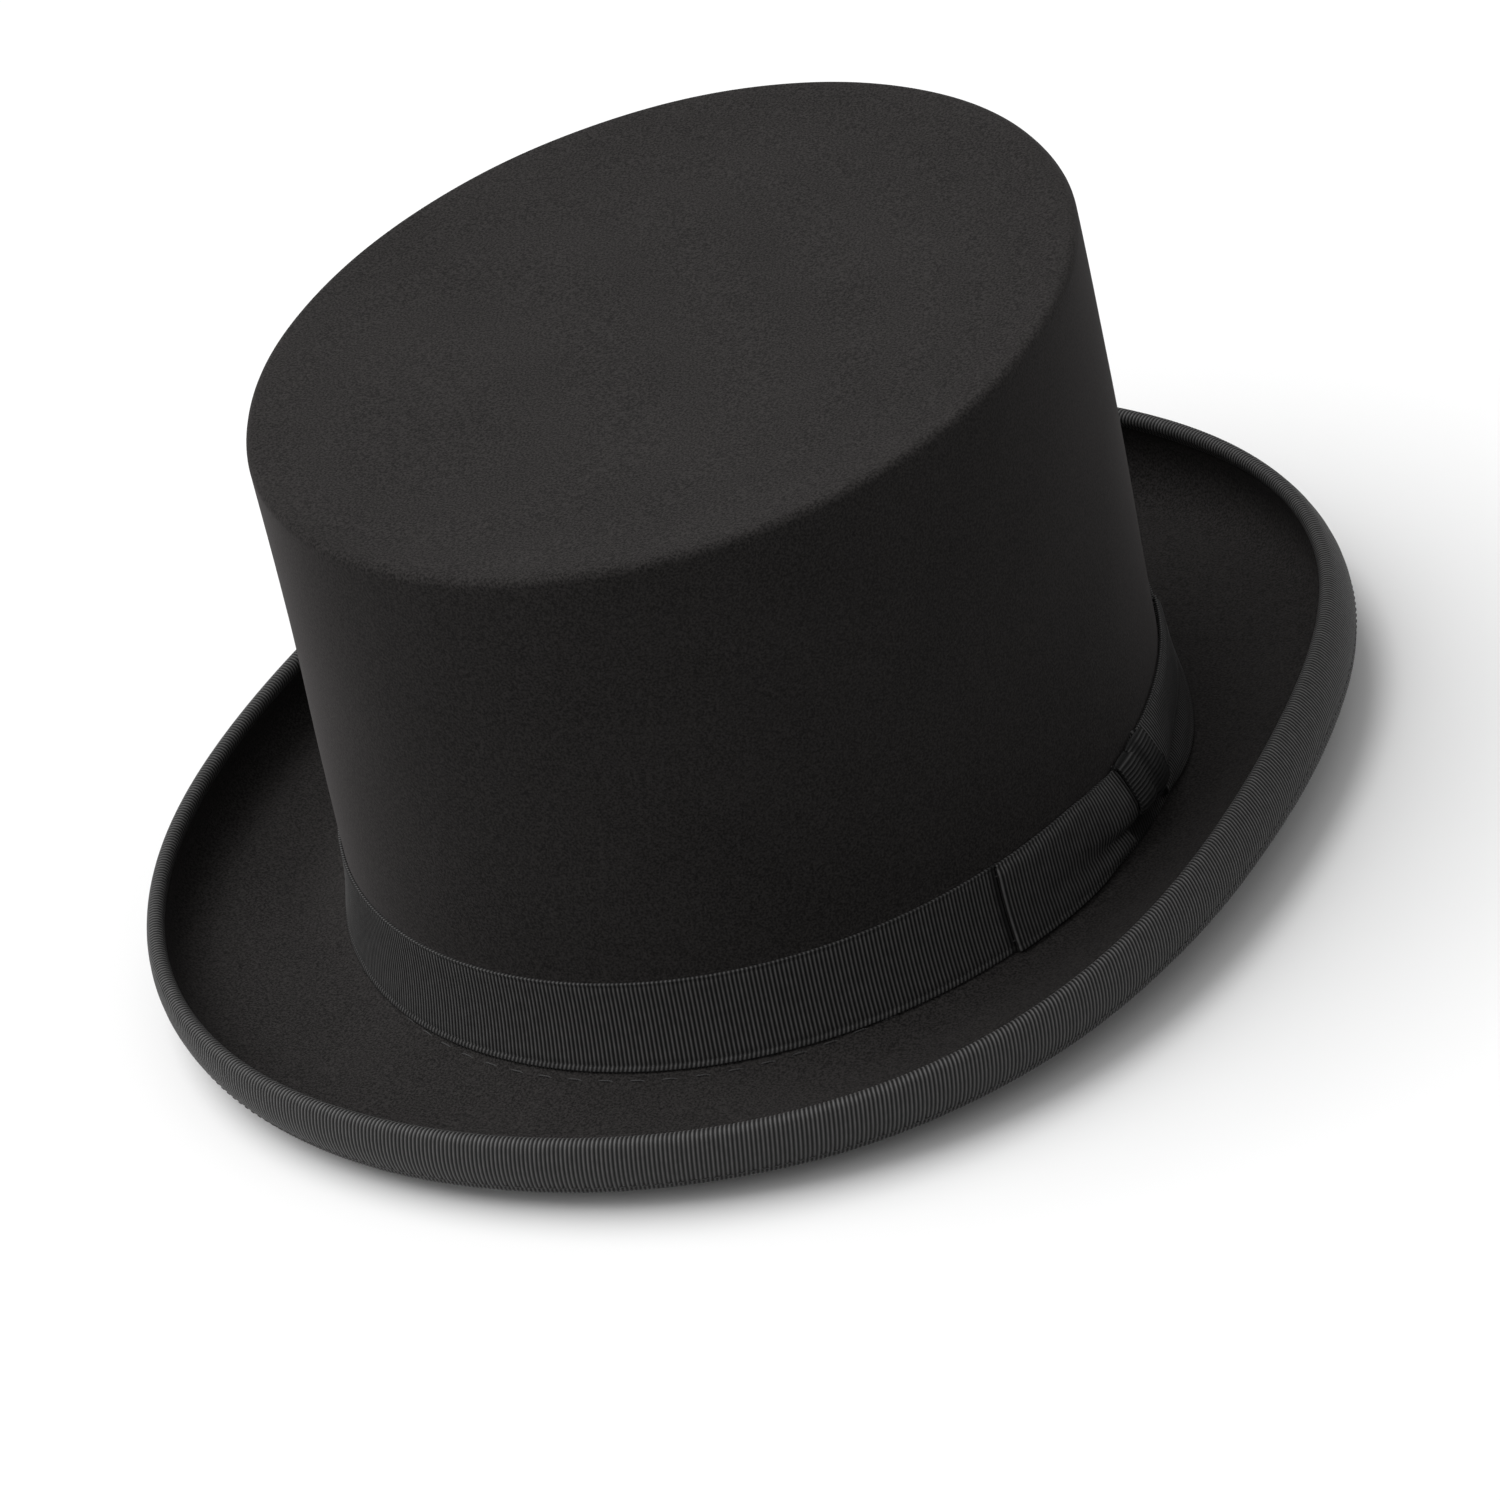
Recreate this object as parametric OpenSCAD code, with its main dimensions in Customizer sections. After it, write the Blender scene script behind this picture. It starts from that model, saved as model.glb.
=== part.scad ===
// Stiff felt top hat.
// One piece of felt makes the crown and the brim. A ribbed ribbon band with a flat bow goes
// round the crown, a ribbon binding covers the curled edge of the brim, and a leather sweatband,
// a taped reed and a satin lining are inside.
// Millimetres, +Z up. The front of the hat faces -Y and the bow is on the wearer's left, +X.
// The origin is on the ground, under the middle of the head oval.

/* [Crown] */
// Half the width of the felt crown at the band, side to side
crown_half_w = 87; // [80:0.5:94]
// Half the length of the felt crown at the band, front to back
crown_half_l = 104.5; // [97:0.5:112]
// Height of the flat tip above the ground
tip_z = 128.5; // [105:0.1:160]
// How much the crown narrows all round between the band and the tip
crown_taper = 0.2; // [0:0.1:4]
// How far the tip sits forward of the head oval
crown_lean = 4.7; // [0:0.1:8]
// Radius of the rounded edge between the side and the tip
tip_edge_r = 2; // [1:0.1:7]
// Thickness of the felt
felt_t = 2.4; // [1.8:0.1:3]

/* [Brim] */
// Mean distance from the crown to the outermost line of the rolled edge
brim_w = 42.2; // [36:0.1:48]
// How much narrower than the mean the brim is at the sides, and wider at the front and the back
brim_oval = 3.7; // [0:0.1:6]
// How much further than the mean the brim reaches at the front, and less at the back
brim_forward = 3.2; // [0:0.1:4]
// Mean radius of the rolled edge, to the middle of the felt
roll_r = 11.15; // [9:0.05:12]
// Angle past straight out at which the felt of the rolled edge ends, on average
roll_end = 36; // [20:1:40]
// Height of the felt above the ground under the sides of the brim
side_lift = 5.7; // [2:0.1:8]

/* [Ribbons] */
// Height of the lower edge of the hat band above the ground
band_z = 5.7; // [5.6:0.1:8.5]
// Width of the hat band ribbon
band_h = 20.6; // [14:0.1:30]
// Thickness of the ribbons
ribbon_t = 0.6; // [0.4:0.05:0.8]
// Distance that the binding reaches down inside the rolled edge
binding_in = 2; // [1:0.5:14]
// Distance that the binding reaches down outside the rolled edge
binding_out = 13; // [10:0.5:14]
// Angle of the knot of the bow, from the wearer's left towards the back
bow_at = 0; // [-10:1:20]
// Length of the bow's front wing, from the middle of the knot
front_wing_l = 50; // [35:1:70]
// Length of the bow's back wing, from the middle of the knot
back_wing_l = 62; // [35:1:75]

/* [Inside] */
// Height of the leather sweatband
sweatband_h = 48; // [35:1:60]
// Thickness of the leather
leather_t = 1.2; // [0.8:0.1:1.5]
// Thickness of the satin lining
satin_t = 0.4; // [0.3:0.05:0.5]

/* [Hidden] */

felt_black = [0.10, 0.10, 0.10];
ribbon_black = [0.13, 0.13, 0.135];
leather_brown = [0.30, 0.19, 0.12];
satin_ivory = [0.80, 0.77, 0.70];

// Steps round the hat, shared by every layer so that the layers nest
steps = 80;
// Room left between two layers that lie on each other
gap = 0.08;
// Height at which the straight side of the crown starts
side_z = 14.4;
// Where the brim leaves the crown, and its height there
break_r = 6;
break_z = 4.2;
band_top = band_z + band_h;

// --- Places round the head oval ------------------------------------------------------------

// Unit normal of the head oval at angle a
function oval_out(a) =
    let (n = [cos(a) / crown_half_w, sin(a) / crown_half_l]) n / norm(n);

// A point r outside the head oval at angle a, at height z; the crown leans forward above the band
function place(a, r, z) =
    let (n = oval_out(a),
         lean = crown_lean * max(0, z - band_top) / (tip_z - band_top))
    [crown_half_w * cos(a) + r * n.x, crown_half_l * sin(a) + r * n.y - lean, z];

// Angle that lies a distance s along the head oval from the middle of the bow
function bow_angle(s) =
    let (a = bow_at, speed = norm([crown_half_w * sin(a), crown_half_l * cos(a)]))
    a + s / speed * 180 / PI;

// --- Cross-sections in (r, z): r is the distance outside the head oval ---------------------

// Outer face of the crown's side at height z
function side_r(z) = -crown_taper * max(0, z - band_top) / (tip_z - band_top);

// Outermost line of the rolled edge, its radius to the middle of the felt, the height of its
// centre, and the angle past straight out at which the felt ends
function roll_out(a) = brim_w - brim_oval * cos(2 * a) - brim_forward * sin(a) - 2.2 * cos(4 * a);
function roll_rad(a) = roll_r - 1.5 * cos(2 * a);
function roll_mid(a) = side_lift * (1 - pow(abs(sin(a)), 3)) + felt_t / 2 + roll_rad(a);
function roll_turn(a) =
    roll_end + 8 * cos(2 * a) + 6 * cos(4 * a) + 19 * sin(a) - 12 * pow(max(0, sin(a)), 8);

// Cubic Bezier through four control points
function bezier(p, t) =
    pow(1 - t, 3) * p[0] + 3 * t * pow(1 - t, 2) * p[1] + 3 * t * t * (1 - t) * p[2] + t * t * t * p[3];

// Point at angle turn on the rolled edge, off outside the middle of the felt
function roll(a, off, turn) =
    [roll_out(a) - roll_rad(a), roll_mid(a)] + (roll_rad(a) + off) * [cos(turn), sin(turn)];

// Point d down the rolled edge from where the felt ends, off outside the middle of the felt
function curl(a, off, d) = roll(a, off, roll_turn(a) - d / (roll_rad(a) + off) * 180 / PI);

// Upper face of the brim from the crown's side to the lowest line, as points
function brim_run(a) =
    let (low = roll(a, -felt_t / 2, -90),
         fall = [[0, side_z], [0, break_z + 3.2], [1.2, break_z + 0.8], [break_r, break_z]],
         out = [[break_r, break_z], [break_r + 8, break_z - 1.6], [low.x - 9, low.y], low])
    concat([for (i = [0:6]) bezier(fall, i / 6)], [for (i = [1:5]) bezier(out, i / 5)]);

// Points moved by distance d to their right-hand side along the path
function offset_path(p, d) =
    [for (i = [0:len(p) - 1])
        let (v = p[min(i + 1, len(p) - 1)] - p[max(i - 1, 0)], n = v / norm(v))
        p[i] + d * [n.y, -n.x]];

// Half circle over the end of the felt, from its outer to its inner face
function edge_cap(a, extra, n) =
    let (end = roll(a, 0, roll_turn(a)), h = felt_t / 2 + extra)
    [for (i = [1:n - 1]) let (t = roll_turn(a) + 180 * i / n) end + h * [cos(t), sin(t)]];

// --- Solids swept round the oval -----------------------------------------------------------

// Sweeps loop(a), a list of (r, z) points turning anticlockwise, from angle a0 to a1 in at least
// the given number of steps
module swept(loop, a0 = 0, a1 = 360, least = 2) {
    full = a1 - a0 == 360;
    n = max(least, ceil((a1 - a0) / 360 * steps));
    rows = [for (i = [0:full ? n - 1 : n]) let (a = a0 + (a1 - a0) * i / n)
            [for (p = loop(a)) place(a, p.x, p.y)]];
    m = len(rows[0]);
    faces = [for (i = [0:n - 1], j = [0:m - 1])
             let (k = (i + 1) % len(rows), l = (j + 1) % m)
             [i * m + j, i * m + l, k * m + l, k * m + j]];
    ends = full ? [] : [[for (j = [m - 1:-1:0]) j], [for (j = [0:m - 1]) n * m + j]];
    polyhedron([for (row = rows) each row], concat(faces, ends), 4);
}

// A shell closed at the crown's tip: loop(a) goes from the inner tip out, over the edge and back
// to the outer tip, and each face is closed by one middle point
module domed(loop, low_mid, high_mid) {
    rows = [for (i = [0:steps - 1]) let (a = 360 * i / steps) [for (p = loop(a)) p]];
    m = len(rows[0]);
    low = steps * m;
    sides = [for (i = [0:steps - 1], j = [0:m - 2])
             let (k = (i + 1) % steps) [i * m + j, i * m + j + 1, k * m + j + 1, k * m + j]];
    floor_fan = [for (i = [0:steps - 1]) [low, i * m, (i + 1) % steps * m]];
    roof_fan = [for (i = [0:steps - 1]) [low + 1, (i + 1) % steps * m + m - 1, i * m + m - 1]];
    polyhedron(concat([for (row = rows) each row], [low_mid, high_mid]),
               concat(sides, floor_fan, roof_fan), 4);
}

// A round thread or cord at (r, z), round the whole hat
module round_cord(centre, radius, sides) {
    swept(function (a) [for (i = [0:sides - 1]) centre(a) + radius * [cos(360 * i / sides), sin(360 * i / sides)]]);
}

// --- Felt ----------------------------------------------------------------------------------

// Rings between a rim and the middle of the tip
function tip_rings(a, r, z, shares) =
    let (mid = [0, -crown_lean, z], rim = place(a, r, z))
    [for (s = shares) mid + (rim - mid) * s];

function felt_section(a) =
    let (run = brim_run(a), inner_r = side_r(tip_z) - felt_t,
         under = offset_path(run, felt_t),
         half = felt_t / 2, arc = roll_turn(a) + 90,
         in_face = concat(tip_rings(a, inner_r - 3, tip_z - felt_t, [0.5, 1]),
                          [for (p = [[inner_r - 0.9, tip_z - felt_t - 0.9], [inner_r, tip_z - felt_t - 3],
                                     [side_r(80) - felt_t, 80], [side_r(band_top) - felt_t, band_top]])
                           place(a, p.x, p.y)],
                          [for (p = under) place(a, p.x, p.y)]),
         curl_out = [for (i = [1:7]) roll(a, half, -90 + arc * i / 7)],
         curl_in = [for (i = [7:-1:1]) roll(a, -half, -90 + arc * i / 7)],
         back = [for (i = [len(run) - 1:-1:0]) run[i]],
         out_r = side_r(tip_z),
         out_face = concat([for (p = concat(curl_out, edge_cap(a, 0, 4), curl_in, back,
                                            [[side_r(band_top), band_top], [side_r(80), 80]]))
                            place(a, p.x, p.y)],
                           [for (i = [0:4]) let (e = [out_r - tip_edge_r, tip_z - tip_edge_r]
                                                 + tip_edge_r * [cos(22.5 * i), sin(22.5 * i)])
                            place(a, e.x, e.y)],
                           tip_rings(a, out_r - tip_edge_r, tip_z, [0.5])))
    concat(in_face, out_face);

module felt_body() {
    color(felt_black)
        domed(function (a) felt_section(a), [0, -crown_lean, tip_z - felt_t], [0, -crown_lean, tip_z]);
}

// --- Hat band and bow ----------------------------------------------------------------------

// Point on the band's felt side at share v of its width, moved out by d
function on_band(v, d) = [gap + d + 2.4 * pow(1 - v, 2), band_z + band_h * v];

// The ribbon's two ends overlap under the bow
module hat_band() {
    lap = 8;
    start = bow_at - lap / 2;
    shift = function (a) a > start + 360 ? (ribbon_t + gap) * min(1, (a - start - 360) / 2) : 0;
    color(ribbon_black)
        swept(function (a) let (d = shift(a))
              concat([for (v = [0, 0.5, 1]) on_band(v, d + ribbon_t)],
                     [for (v = [1, 0.5, 0]) on_band(v, d)]),
              start, start + 360 + lap);
}

// Half the bow's height, and how far it stands off the band, a share u along one wing
function wing_half(u) = 0.3 + 0.2 * pow(min(1, u * 1.6), 0.8);
function wing_out(u) = 1.4 + 2.2 * sin(180 * pow(u, 0.7));

knot_half = 4.2;
bow_under = 2 * (ribbon_t + gap) + 0.1;

// One closed loop of ribbon, pinched in the middle where the knot holds it
module bow_ribbon() {
    marks = concat([for (i = [10:-1:0]) -knot_half - (front_wing_l - knot_half) * i / 10],
                   [for (i = [0:10]) knot_half + (back_wing_l - knot_half) * i / 10]);
    sections = [for (s = marks)
                let (a = bow_angle(s), wing_l = s < 0 ? front_wing_l : back_wing_l,
                     u = max(0, abs(s) - knot_half) / (wing_l - knot_half),
                     h = wing_half(u), o = wing_out(u),
                     outer = [for (v = [0.5 - h, 0.5 - h / 3, 0.5 + h / 3, 0.5 + h])
                              on_band(v, bow_under + o * (abs(v - 0.5) < h * 0.9 ? 1 : 0.7))],
                     inner = [for (v = [0.5 + h, 0.5, 0.5 - h]) on_band(v, bow_under)])
                [for (p = concat(outer, inner)) place(a, p.x, p.y)]];
    m = len(sections[0]);
    n = len(sections);
    faces = [for (i = [0:n - 2], j = [0:m - 1])
             let (l = (j + 1) % m) [i * m + j, i * m + l, (i + 1) * m + l, (i + 1) * m + j]];
    color(ribbon_black)
        polyhedron([for (s = sections) each s],
                   concat(faces, [[for (j = [m - 1:-1:0]) j], [for (j = [0:m - 1]) (n - 1) * m + j]]), 4);
}

// The short ribbon wrapped round the middle of the bow, down to the band above and below it
module bow_knot() {
    near = bow_under + wing_out(0) + gap;
    a1 = bow_angle(knot_half - 0.2);
    color(ribbon_black)
        swept(function (a)
              let (far = near + 0.9 + 0.5 * cos((a - bow_at) / (a1 - bow_at) * 60))
              concat([for (v = [0.06, 0.28, 0.5, 0.72, 0.94]) on_band(v, far)],
                     [on_band(0.94, bow_under), on_band(0.84, bow_under)],
                     [for (v = [0.84, 0.5, 0.16]) on_band(v, near)],
                     [on_band(0.16, bow_under), on_band(0.06, bow_under)]),
              bow_angle(-knot_half + 0.2), a1, 6);
}

// Thread tacks that hold the ends of the bow to the band
module bow_tacks() {
    color(ribbon_black)
        for (side = [-1, 1], v = [0.25, 0.75]) {
            p = on_band(v, 2 * ribbon_t + 0.9);
            a = bow_angle(side < 0 ? -front_wing_l - 0.5 : back_wing_l + 0.5);
            translate(place(a, p.x, p.y))
                rotate([0, 0, a])
                    rotate([90, 0, 0])
                        cylinder(d = 0.6, h = 2, center = true, $fn = 16);
        }
}

// --- Binding -------------------------------------------------------------------------------

// A U over the end of the felt; its two ends meet at the back of the hat
module brim_binding() {
    half = felt_t / 2;
    section = function (a) concat(
        [for (s = [1, 0.75, 0.5, 0.25, 0]) curl(a, half + gap + ribbon_t, binding_out * s)],
        edge_cap(a, gap + ribbon_t, 4),
        [for (s = [0, 0.25, 0.5, 0.75, 1]) curl(a, -half - gap - ribbon_t, binding_in * s)],
        [for (s = [1, 0.75, 0.5, 0.25, 0]) curl(a, -half - gap, binding_in * s)],
        [for (i = [2:-1:0]) edge_cap(a, gap, 4)[i]],
        [for (s = [0, 0.25, 0.5, 0.75, 1]) curl(a, half + gap, binding_out * s)]);
    color(ribbon_black)
        swept(section, 90.2, 449.8);
}

// The lockstitched thread near the binding's outer selvedge
module binding_thread() {
    thread_r = 0.2;
    color(ribbon_black)
        round_cord(function (a) curl(a, felt_t / 2 + 2 * gap + ribbon_t + thread_r, binding_out - 1.5), thread_r, 4);
}

// --- Sweatband -----------------------------------------------------------------------------

reed_r = 0.9;
tape_t = 0.4;
reed_at = [-3.1, 3.6];
leather_out = -felt_t - satin_t - 3 * gap;
leather_low = reed_at.y + reed_r + gap + tape_t + 0.2;

// The leather strip; its ends meet at the back of the head
module sweatband() {
    top = leather_low + sweatband_h;
    color(leather_brown)
        swept(function (a) [[leather_out + side_r(top), top], [leather_out - leather_t + side_r(top), top],
                            [leather_out - leather_t, band_top], [leather_out - leather_t, leather_low],
                            [leather_out, leather_low], [leather_out, band_top]],
              90.3, 449.7);
}

// Thread that sews the sweatband to the brim: a row of stitches on the felt outside the band
module sweatband_thread() {
    stitch = 3.6;
    pitch = 6.6;
    thread_r = 0.25;
    around = PI * (3 * (crown_half_w + crown_half_l)
             - sqrt((3 * crown_half_w + crown_half_l) * (crown_half_w + 3 * crown_half_l)));
    count = round(around / pitch);
    color(ribbon_black)
        for (i = [0:count - 1]) {
            a = 360 * i / count;
            p = [4.6, break_z + 0.72];
            n = oval_out(a);
            translate(place(a, p.x, p.y))
                rotate([0, 0, atan2(n.y, n.x)])
                    rotate([90, 0, 0])
                        cylinder(r = thread_r, h = stitch, center = true, $fn = 16);
        }
}

// The flexible reed that stiffens the lower edge of the leather
module reed() {
    color([0.85, 0.85, 0.82])
        round_cord(function (a) reed_at, reed_r, 6);
}

// The tape folded round the reed, open at the top where the leather is sewn in
module reed_cover() {
    turns = [-230, -160, -90, -20, 50];
    color(leather_brown)
        swept(function (a) concat(
            [for (t = turns) reed_at + (reed_r + gap + tape_t) * [cos(t), sin(t)]],
            [for (i = [4:-1:0]) reed_at + (reed_r + gap) / cos(35) * [cos(turns[i]), sin(turns[i])]]));
}

// The little ribbon bow that covers the joint of the leather at the back
module sweatband_bow() {
    z = leather_low + 9;
    place_r = leather_out - leather_t - gap;
    color(leather_brown)
        for (side = [-1, 1])
            swept(function (a)
                  let (u = abs(a - 90) / 6, h = 1 + 2.6 * u)
                  [[place_r, z + h], [place_r - 1 - 0.6 * u, z + h * 0.9],
                   [place_r - 1 - 0.6 * u, z - h * 0.9], [place_r, z - h]],
                  side > 0 ? 90.2 : 84, side > 0 ? 96 : 89.8);
}

// --- Lining --------------------------------------------------------------------------------

lining_out = -felt_t - gap;

// The satin wall, from behind the leather up to the tip
module lining_side() {
    low = side_z + 1;
    top = tip_z - felt_t - 3.2;
    color(satin_ivory)
        swept(function (a) [[lining_out + side_r(low), low], [lining_out + side_r(band_top), band_top],
                            [lining_out + side_r(top), top], [lining_out - satin_t + side_r(top), top],
                            [lining_out - satin_t + side_r(band_top), band_top],
                            [lining_out - satin_t + side_r(low), low]]);
}

// The satin oval under the tip
module lining_tip() {
    z = tip_z - felt_t - gap;
    r = side_r(tip_z) + lining_out - 3.2;
    color(satin_ivory)
        domed(function (a) [place(a, r, z - satin_t), place(a, r, z)],
              [0, -crown_lean, z - satin_t], [0, -crown_lean, z]);
}

// The covered cord that hides the seam between the wall and the tip of the lining
module lining_piping() {
    piping_r = 1.1;
    color(satin_ivory)
        round_cord(function (a) [side_r(tip_z) + lining_out - satin_t - gap - piping_r,
                                 tip_z - felt_t - 2 * gap - satin_t - piping_r - 0.4], piping_r, 8);
}

felt_body();
hat_band();
bow_ribbon();
bow_knot();
bow_tacks();
brim_binding();
binding_thread();
sweatband();
sweatband_thread();
sweatband_bow();
reed();
reed_cover();
lining_side();
lining_tip();
lining_piping();
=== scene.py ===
"""Stiff felt top hat, laid out as an add-on: the panel in the sidebar holds the sizes and the
colours, and one operator builds each group of pieces. Lengths inside the functions are in
millimetres, and every mesh is written in metres."""
import math

import bpy
import numpy as np
from bpy.props import FloatProperty, FloatVectorProperty, PointerProperty
from bpy.types import Operator, Panel, PropertyGroup
from mathutils import Matrix


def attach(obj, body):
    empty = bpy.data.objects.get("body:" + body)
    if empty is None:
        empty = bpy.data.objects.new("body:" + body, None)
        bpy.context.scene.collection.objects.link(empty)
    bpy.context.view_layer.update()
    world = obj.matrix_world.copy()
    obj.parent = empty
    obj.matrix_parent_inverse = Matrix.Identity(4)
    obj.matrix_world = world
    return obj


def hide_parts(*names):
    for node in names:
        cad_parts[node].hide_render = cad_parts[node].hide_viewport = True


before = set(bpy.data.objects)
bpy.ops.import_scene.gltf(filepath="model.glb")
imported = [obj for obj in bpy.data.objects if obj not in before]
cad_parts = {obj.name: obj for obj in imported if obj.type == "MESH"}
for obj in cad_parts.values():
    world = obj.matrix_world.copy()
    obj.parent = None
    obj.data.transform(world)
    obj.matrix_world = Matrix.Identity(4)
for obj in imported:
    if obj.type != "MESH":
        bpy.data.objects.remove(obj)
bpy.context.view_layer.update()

bl_info = {
    "name": "Felt Top Hat",
    "version": (1, 0, 0),
    "blender": (4, 5, 0),
    "location": "View3D > Sidebar > Top Hat",
    "description": "Builds a stiff felt top hat with its ribbons, bow, sweatband and lining",
    "category": "Add Mesh",
}


# --- Sizes and colours -----------------------------------------------------------------------

def length(name, description, metres):
    """A length property in metres."""
    return FloatProperty(name=name, description=description, default=metres, unit="LENGTH", precision=5)


def turn(name, description, degrees):
    """An angle property, given in degrees."""
    return FloatProperty(name=name, description=description, default=math.radians(degrees),
                         subtype="ANGLE", unit="ROTATION")


def colour(name, description, value):
    """A colour property in linear light."""
    return FloatVectorProperty(name=name, description=description, default=value, subtype="COLOR",
                               size=3, min=0, max=1)


class HatSizes(PropertyGroup):
    """Sizes of the hat."""
    crown_half_w: length("Crown half width", "Half the width of the felt crown at the band", 0.087)
    crown_half_l: length("Crown half length", "Half the length of the felt crown at the band", 0.1045)
    tip_z: length("Tip height", "Height of the tip above the ground", 0.1285)
    crown_taper: length("Crown taper", "How much the crown narrows all round up to the tip", 0.0002)
    crown_lean: length("Crown lean", "How far the tip sits forward of the head oval", 0.0047)
    tip_left: length("Tip rise left", "How much the tip rises from its middle to the wearer's left", 0.0012)
    tip_back: length("Tip rise back", "How much the tip rises from its middle to the back", 0.0011)
    tip_edge_r: length("Tip edge radius", "Radius of the edge between the side and the tip", 0.002)
    felt_t: length("Felt thickness", "Thickness of the felt", 0.0024)
    brim_w: length("Brim reach", "Mean distance from the crown to the rolled edge", 0.0422)
    brim_oval: length("Brim oval", "How much narrower the brim is at the sides than the mean", 0.0037)
    brim_forward: length("Brim forward", "How much further the brim reaches at the front", 0.0032)
    roll_r: length("Roll radius", "Mean radius of the rolled edge, to the middle of the felt", 0.01115)
    roll_end: turn("Roll end", "Angle past straight out at which the rolled felt ends", 36)
    side_lift: length("Side lift", "Height of the felt above the ground at the sides", 0.0057)
    band_z: length("Band height", "Height of the lower edge of the band above the ground", 0.0057)
    band_h: length("Band width", "Width of the band ribbon", 0.0206)
    ribbon_t: length("Ribbon thickness", "Thickness of the ribbons under their ribs", 0.0004)
    rib_pitch: length("Rib pitch", "Distance between two ribs of the grosgrain", 0.00095)
    binding_in: length("Binding inside", "How far the binding reaches down inside the roll", 0.002)
    binding_out: length("Binding outside", "How far the binding reaches down outside the roll", 0.013)
    front_wing_l: length("Front wing", "Length of the bow's front wing", 0.050)
    back_wing_l: length("Back wing", "Length of the bow's back wing", 0.062)
    sweatband_h: length("Sweatband width", "Width of the leather sweatband", 0.048)
    leather_t: length("Leather thickness", "Thickness of the leather", 0.0012)
    satin_t: length("Lining thickness", "Thickness of the satin lining", 0.0004)


class HatColours(PropertyGroup):
    """Colours of the hat, in linear light."""
    felt: colour("Felt", "Colour of the felt", (0.0210, 0.0195, 0.0190))
    ribbon: colour("Ribbon", "Colour of the grosgrain", (0.1000, 0.0984, 0.0978))
    thread: colour("Thread", "Colour of the sewing thread", (0.022, 0.021, 0.021))
    leather: colour("Leather", "Colour of the sweatband", (0.11, 0.055, 0.03))
    bow_satin: colour("Bow satin", "Colour of the bow inside the sweatband", (0.05, 0.028, 0.018))
    reed: colour("Reed", "Colour of the plastic reed", (0.7, 0.7, 0.66))
    tape: colour("Reed tape", "Colour of the tape round the reed", (0.05, 0.04, 0.035))
    satin: colour("Lining", "Colour of the satin lining", (0.62, 0.57, 0.47))
    floor: colour("Floor", "Colour of the floor", (0.93, 0.93, 0.93))


# --- The hat's own lines ---------------------------------------------------------------------

def ramp(x, low, high):
    """0 below low, 1 above high, and 3x^2 - 2x^3 of the share between them."""
    s = np.clip((x - low) / (high - low), 0, 1)
    return s * s * (3 - 2 * s)


def bell(x, middle, width, power=2):
    """exp(-((x - middle) / width)^power)."""
    return np.exp(-((x - middle) / width) ** power)


def lobe(t, middle, width, power=2):
    """Bell curve of the angle t round the hat: exp(-(off / width)^power), off being how far t is
    from the middle, which is in degrees, as the width is."""
    off = np.angle(np.exp(1j * (t - math.radians(middle))))
    return bell(off, 0, math.radians(width), power)


def unit(vectors):
    """The vectors along the last axis, each divided by its length."""
    return vectors / np.linalg.norm(vectors, axis=-1, keepdims=True)


def through(points, n):
    """n points, evenly spaced by length, on the cubic through the given points whose slope at each
    point is half the step between its neighbours (Catmull-Rom)."""
    p = np.asarray(points, float)
    p = np.vstack([2 * p[0] - p[1], p, 2 * p[-1] - p[-2]])
    u = np.linspace(0, len(p) - 3 - 1e-9, 60 * len(p))
    i = u.astype(int)
    f = (u - i)[:, None]
    a, b, c, d = p[i], p[i + 1], p[i + 2], p[i + 3]
    line = 0.5 * (2 * b + (c - a) * f + (2 * a - 5 * b + 4 * c - d) * f ** 2 + (3 * b - a - 3 * c + d) * f ** 3)
    return even(line, n)


def even(line, n):
    """n points evenly spaced by length along a line of points."""
    run = np.concatenate([[0], np.cumsum(np.linalg.norm(np.diff(line, axis=0), axis=1))])
    s = np.linspace(0, run[-1], n)
    return np.stack([np.interp(s, run, line[:, k]) for k in range(line.shape[1])], 1)


def cubic(a, b, c, d, n):
    """n points of the Bezier curve with control points a, b, c, d, each an (r, z) pair of arrays."""
    f = np.linspace(0, 1, n)
    w = [(1 - f) ** 3, 3 * f * (1 - f) ** 2, 3 * f * f * (1 - f), f ** 3]
    return [sum(w[k] * p[i] for k, p in enumerate((a, b, c, d))) for i in (0, 1)]


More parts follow.
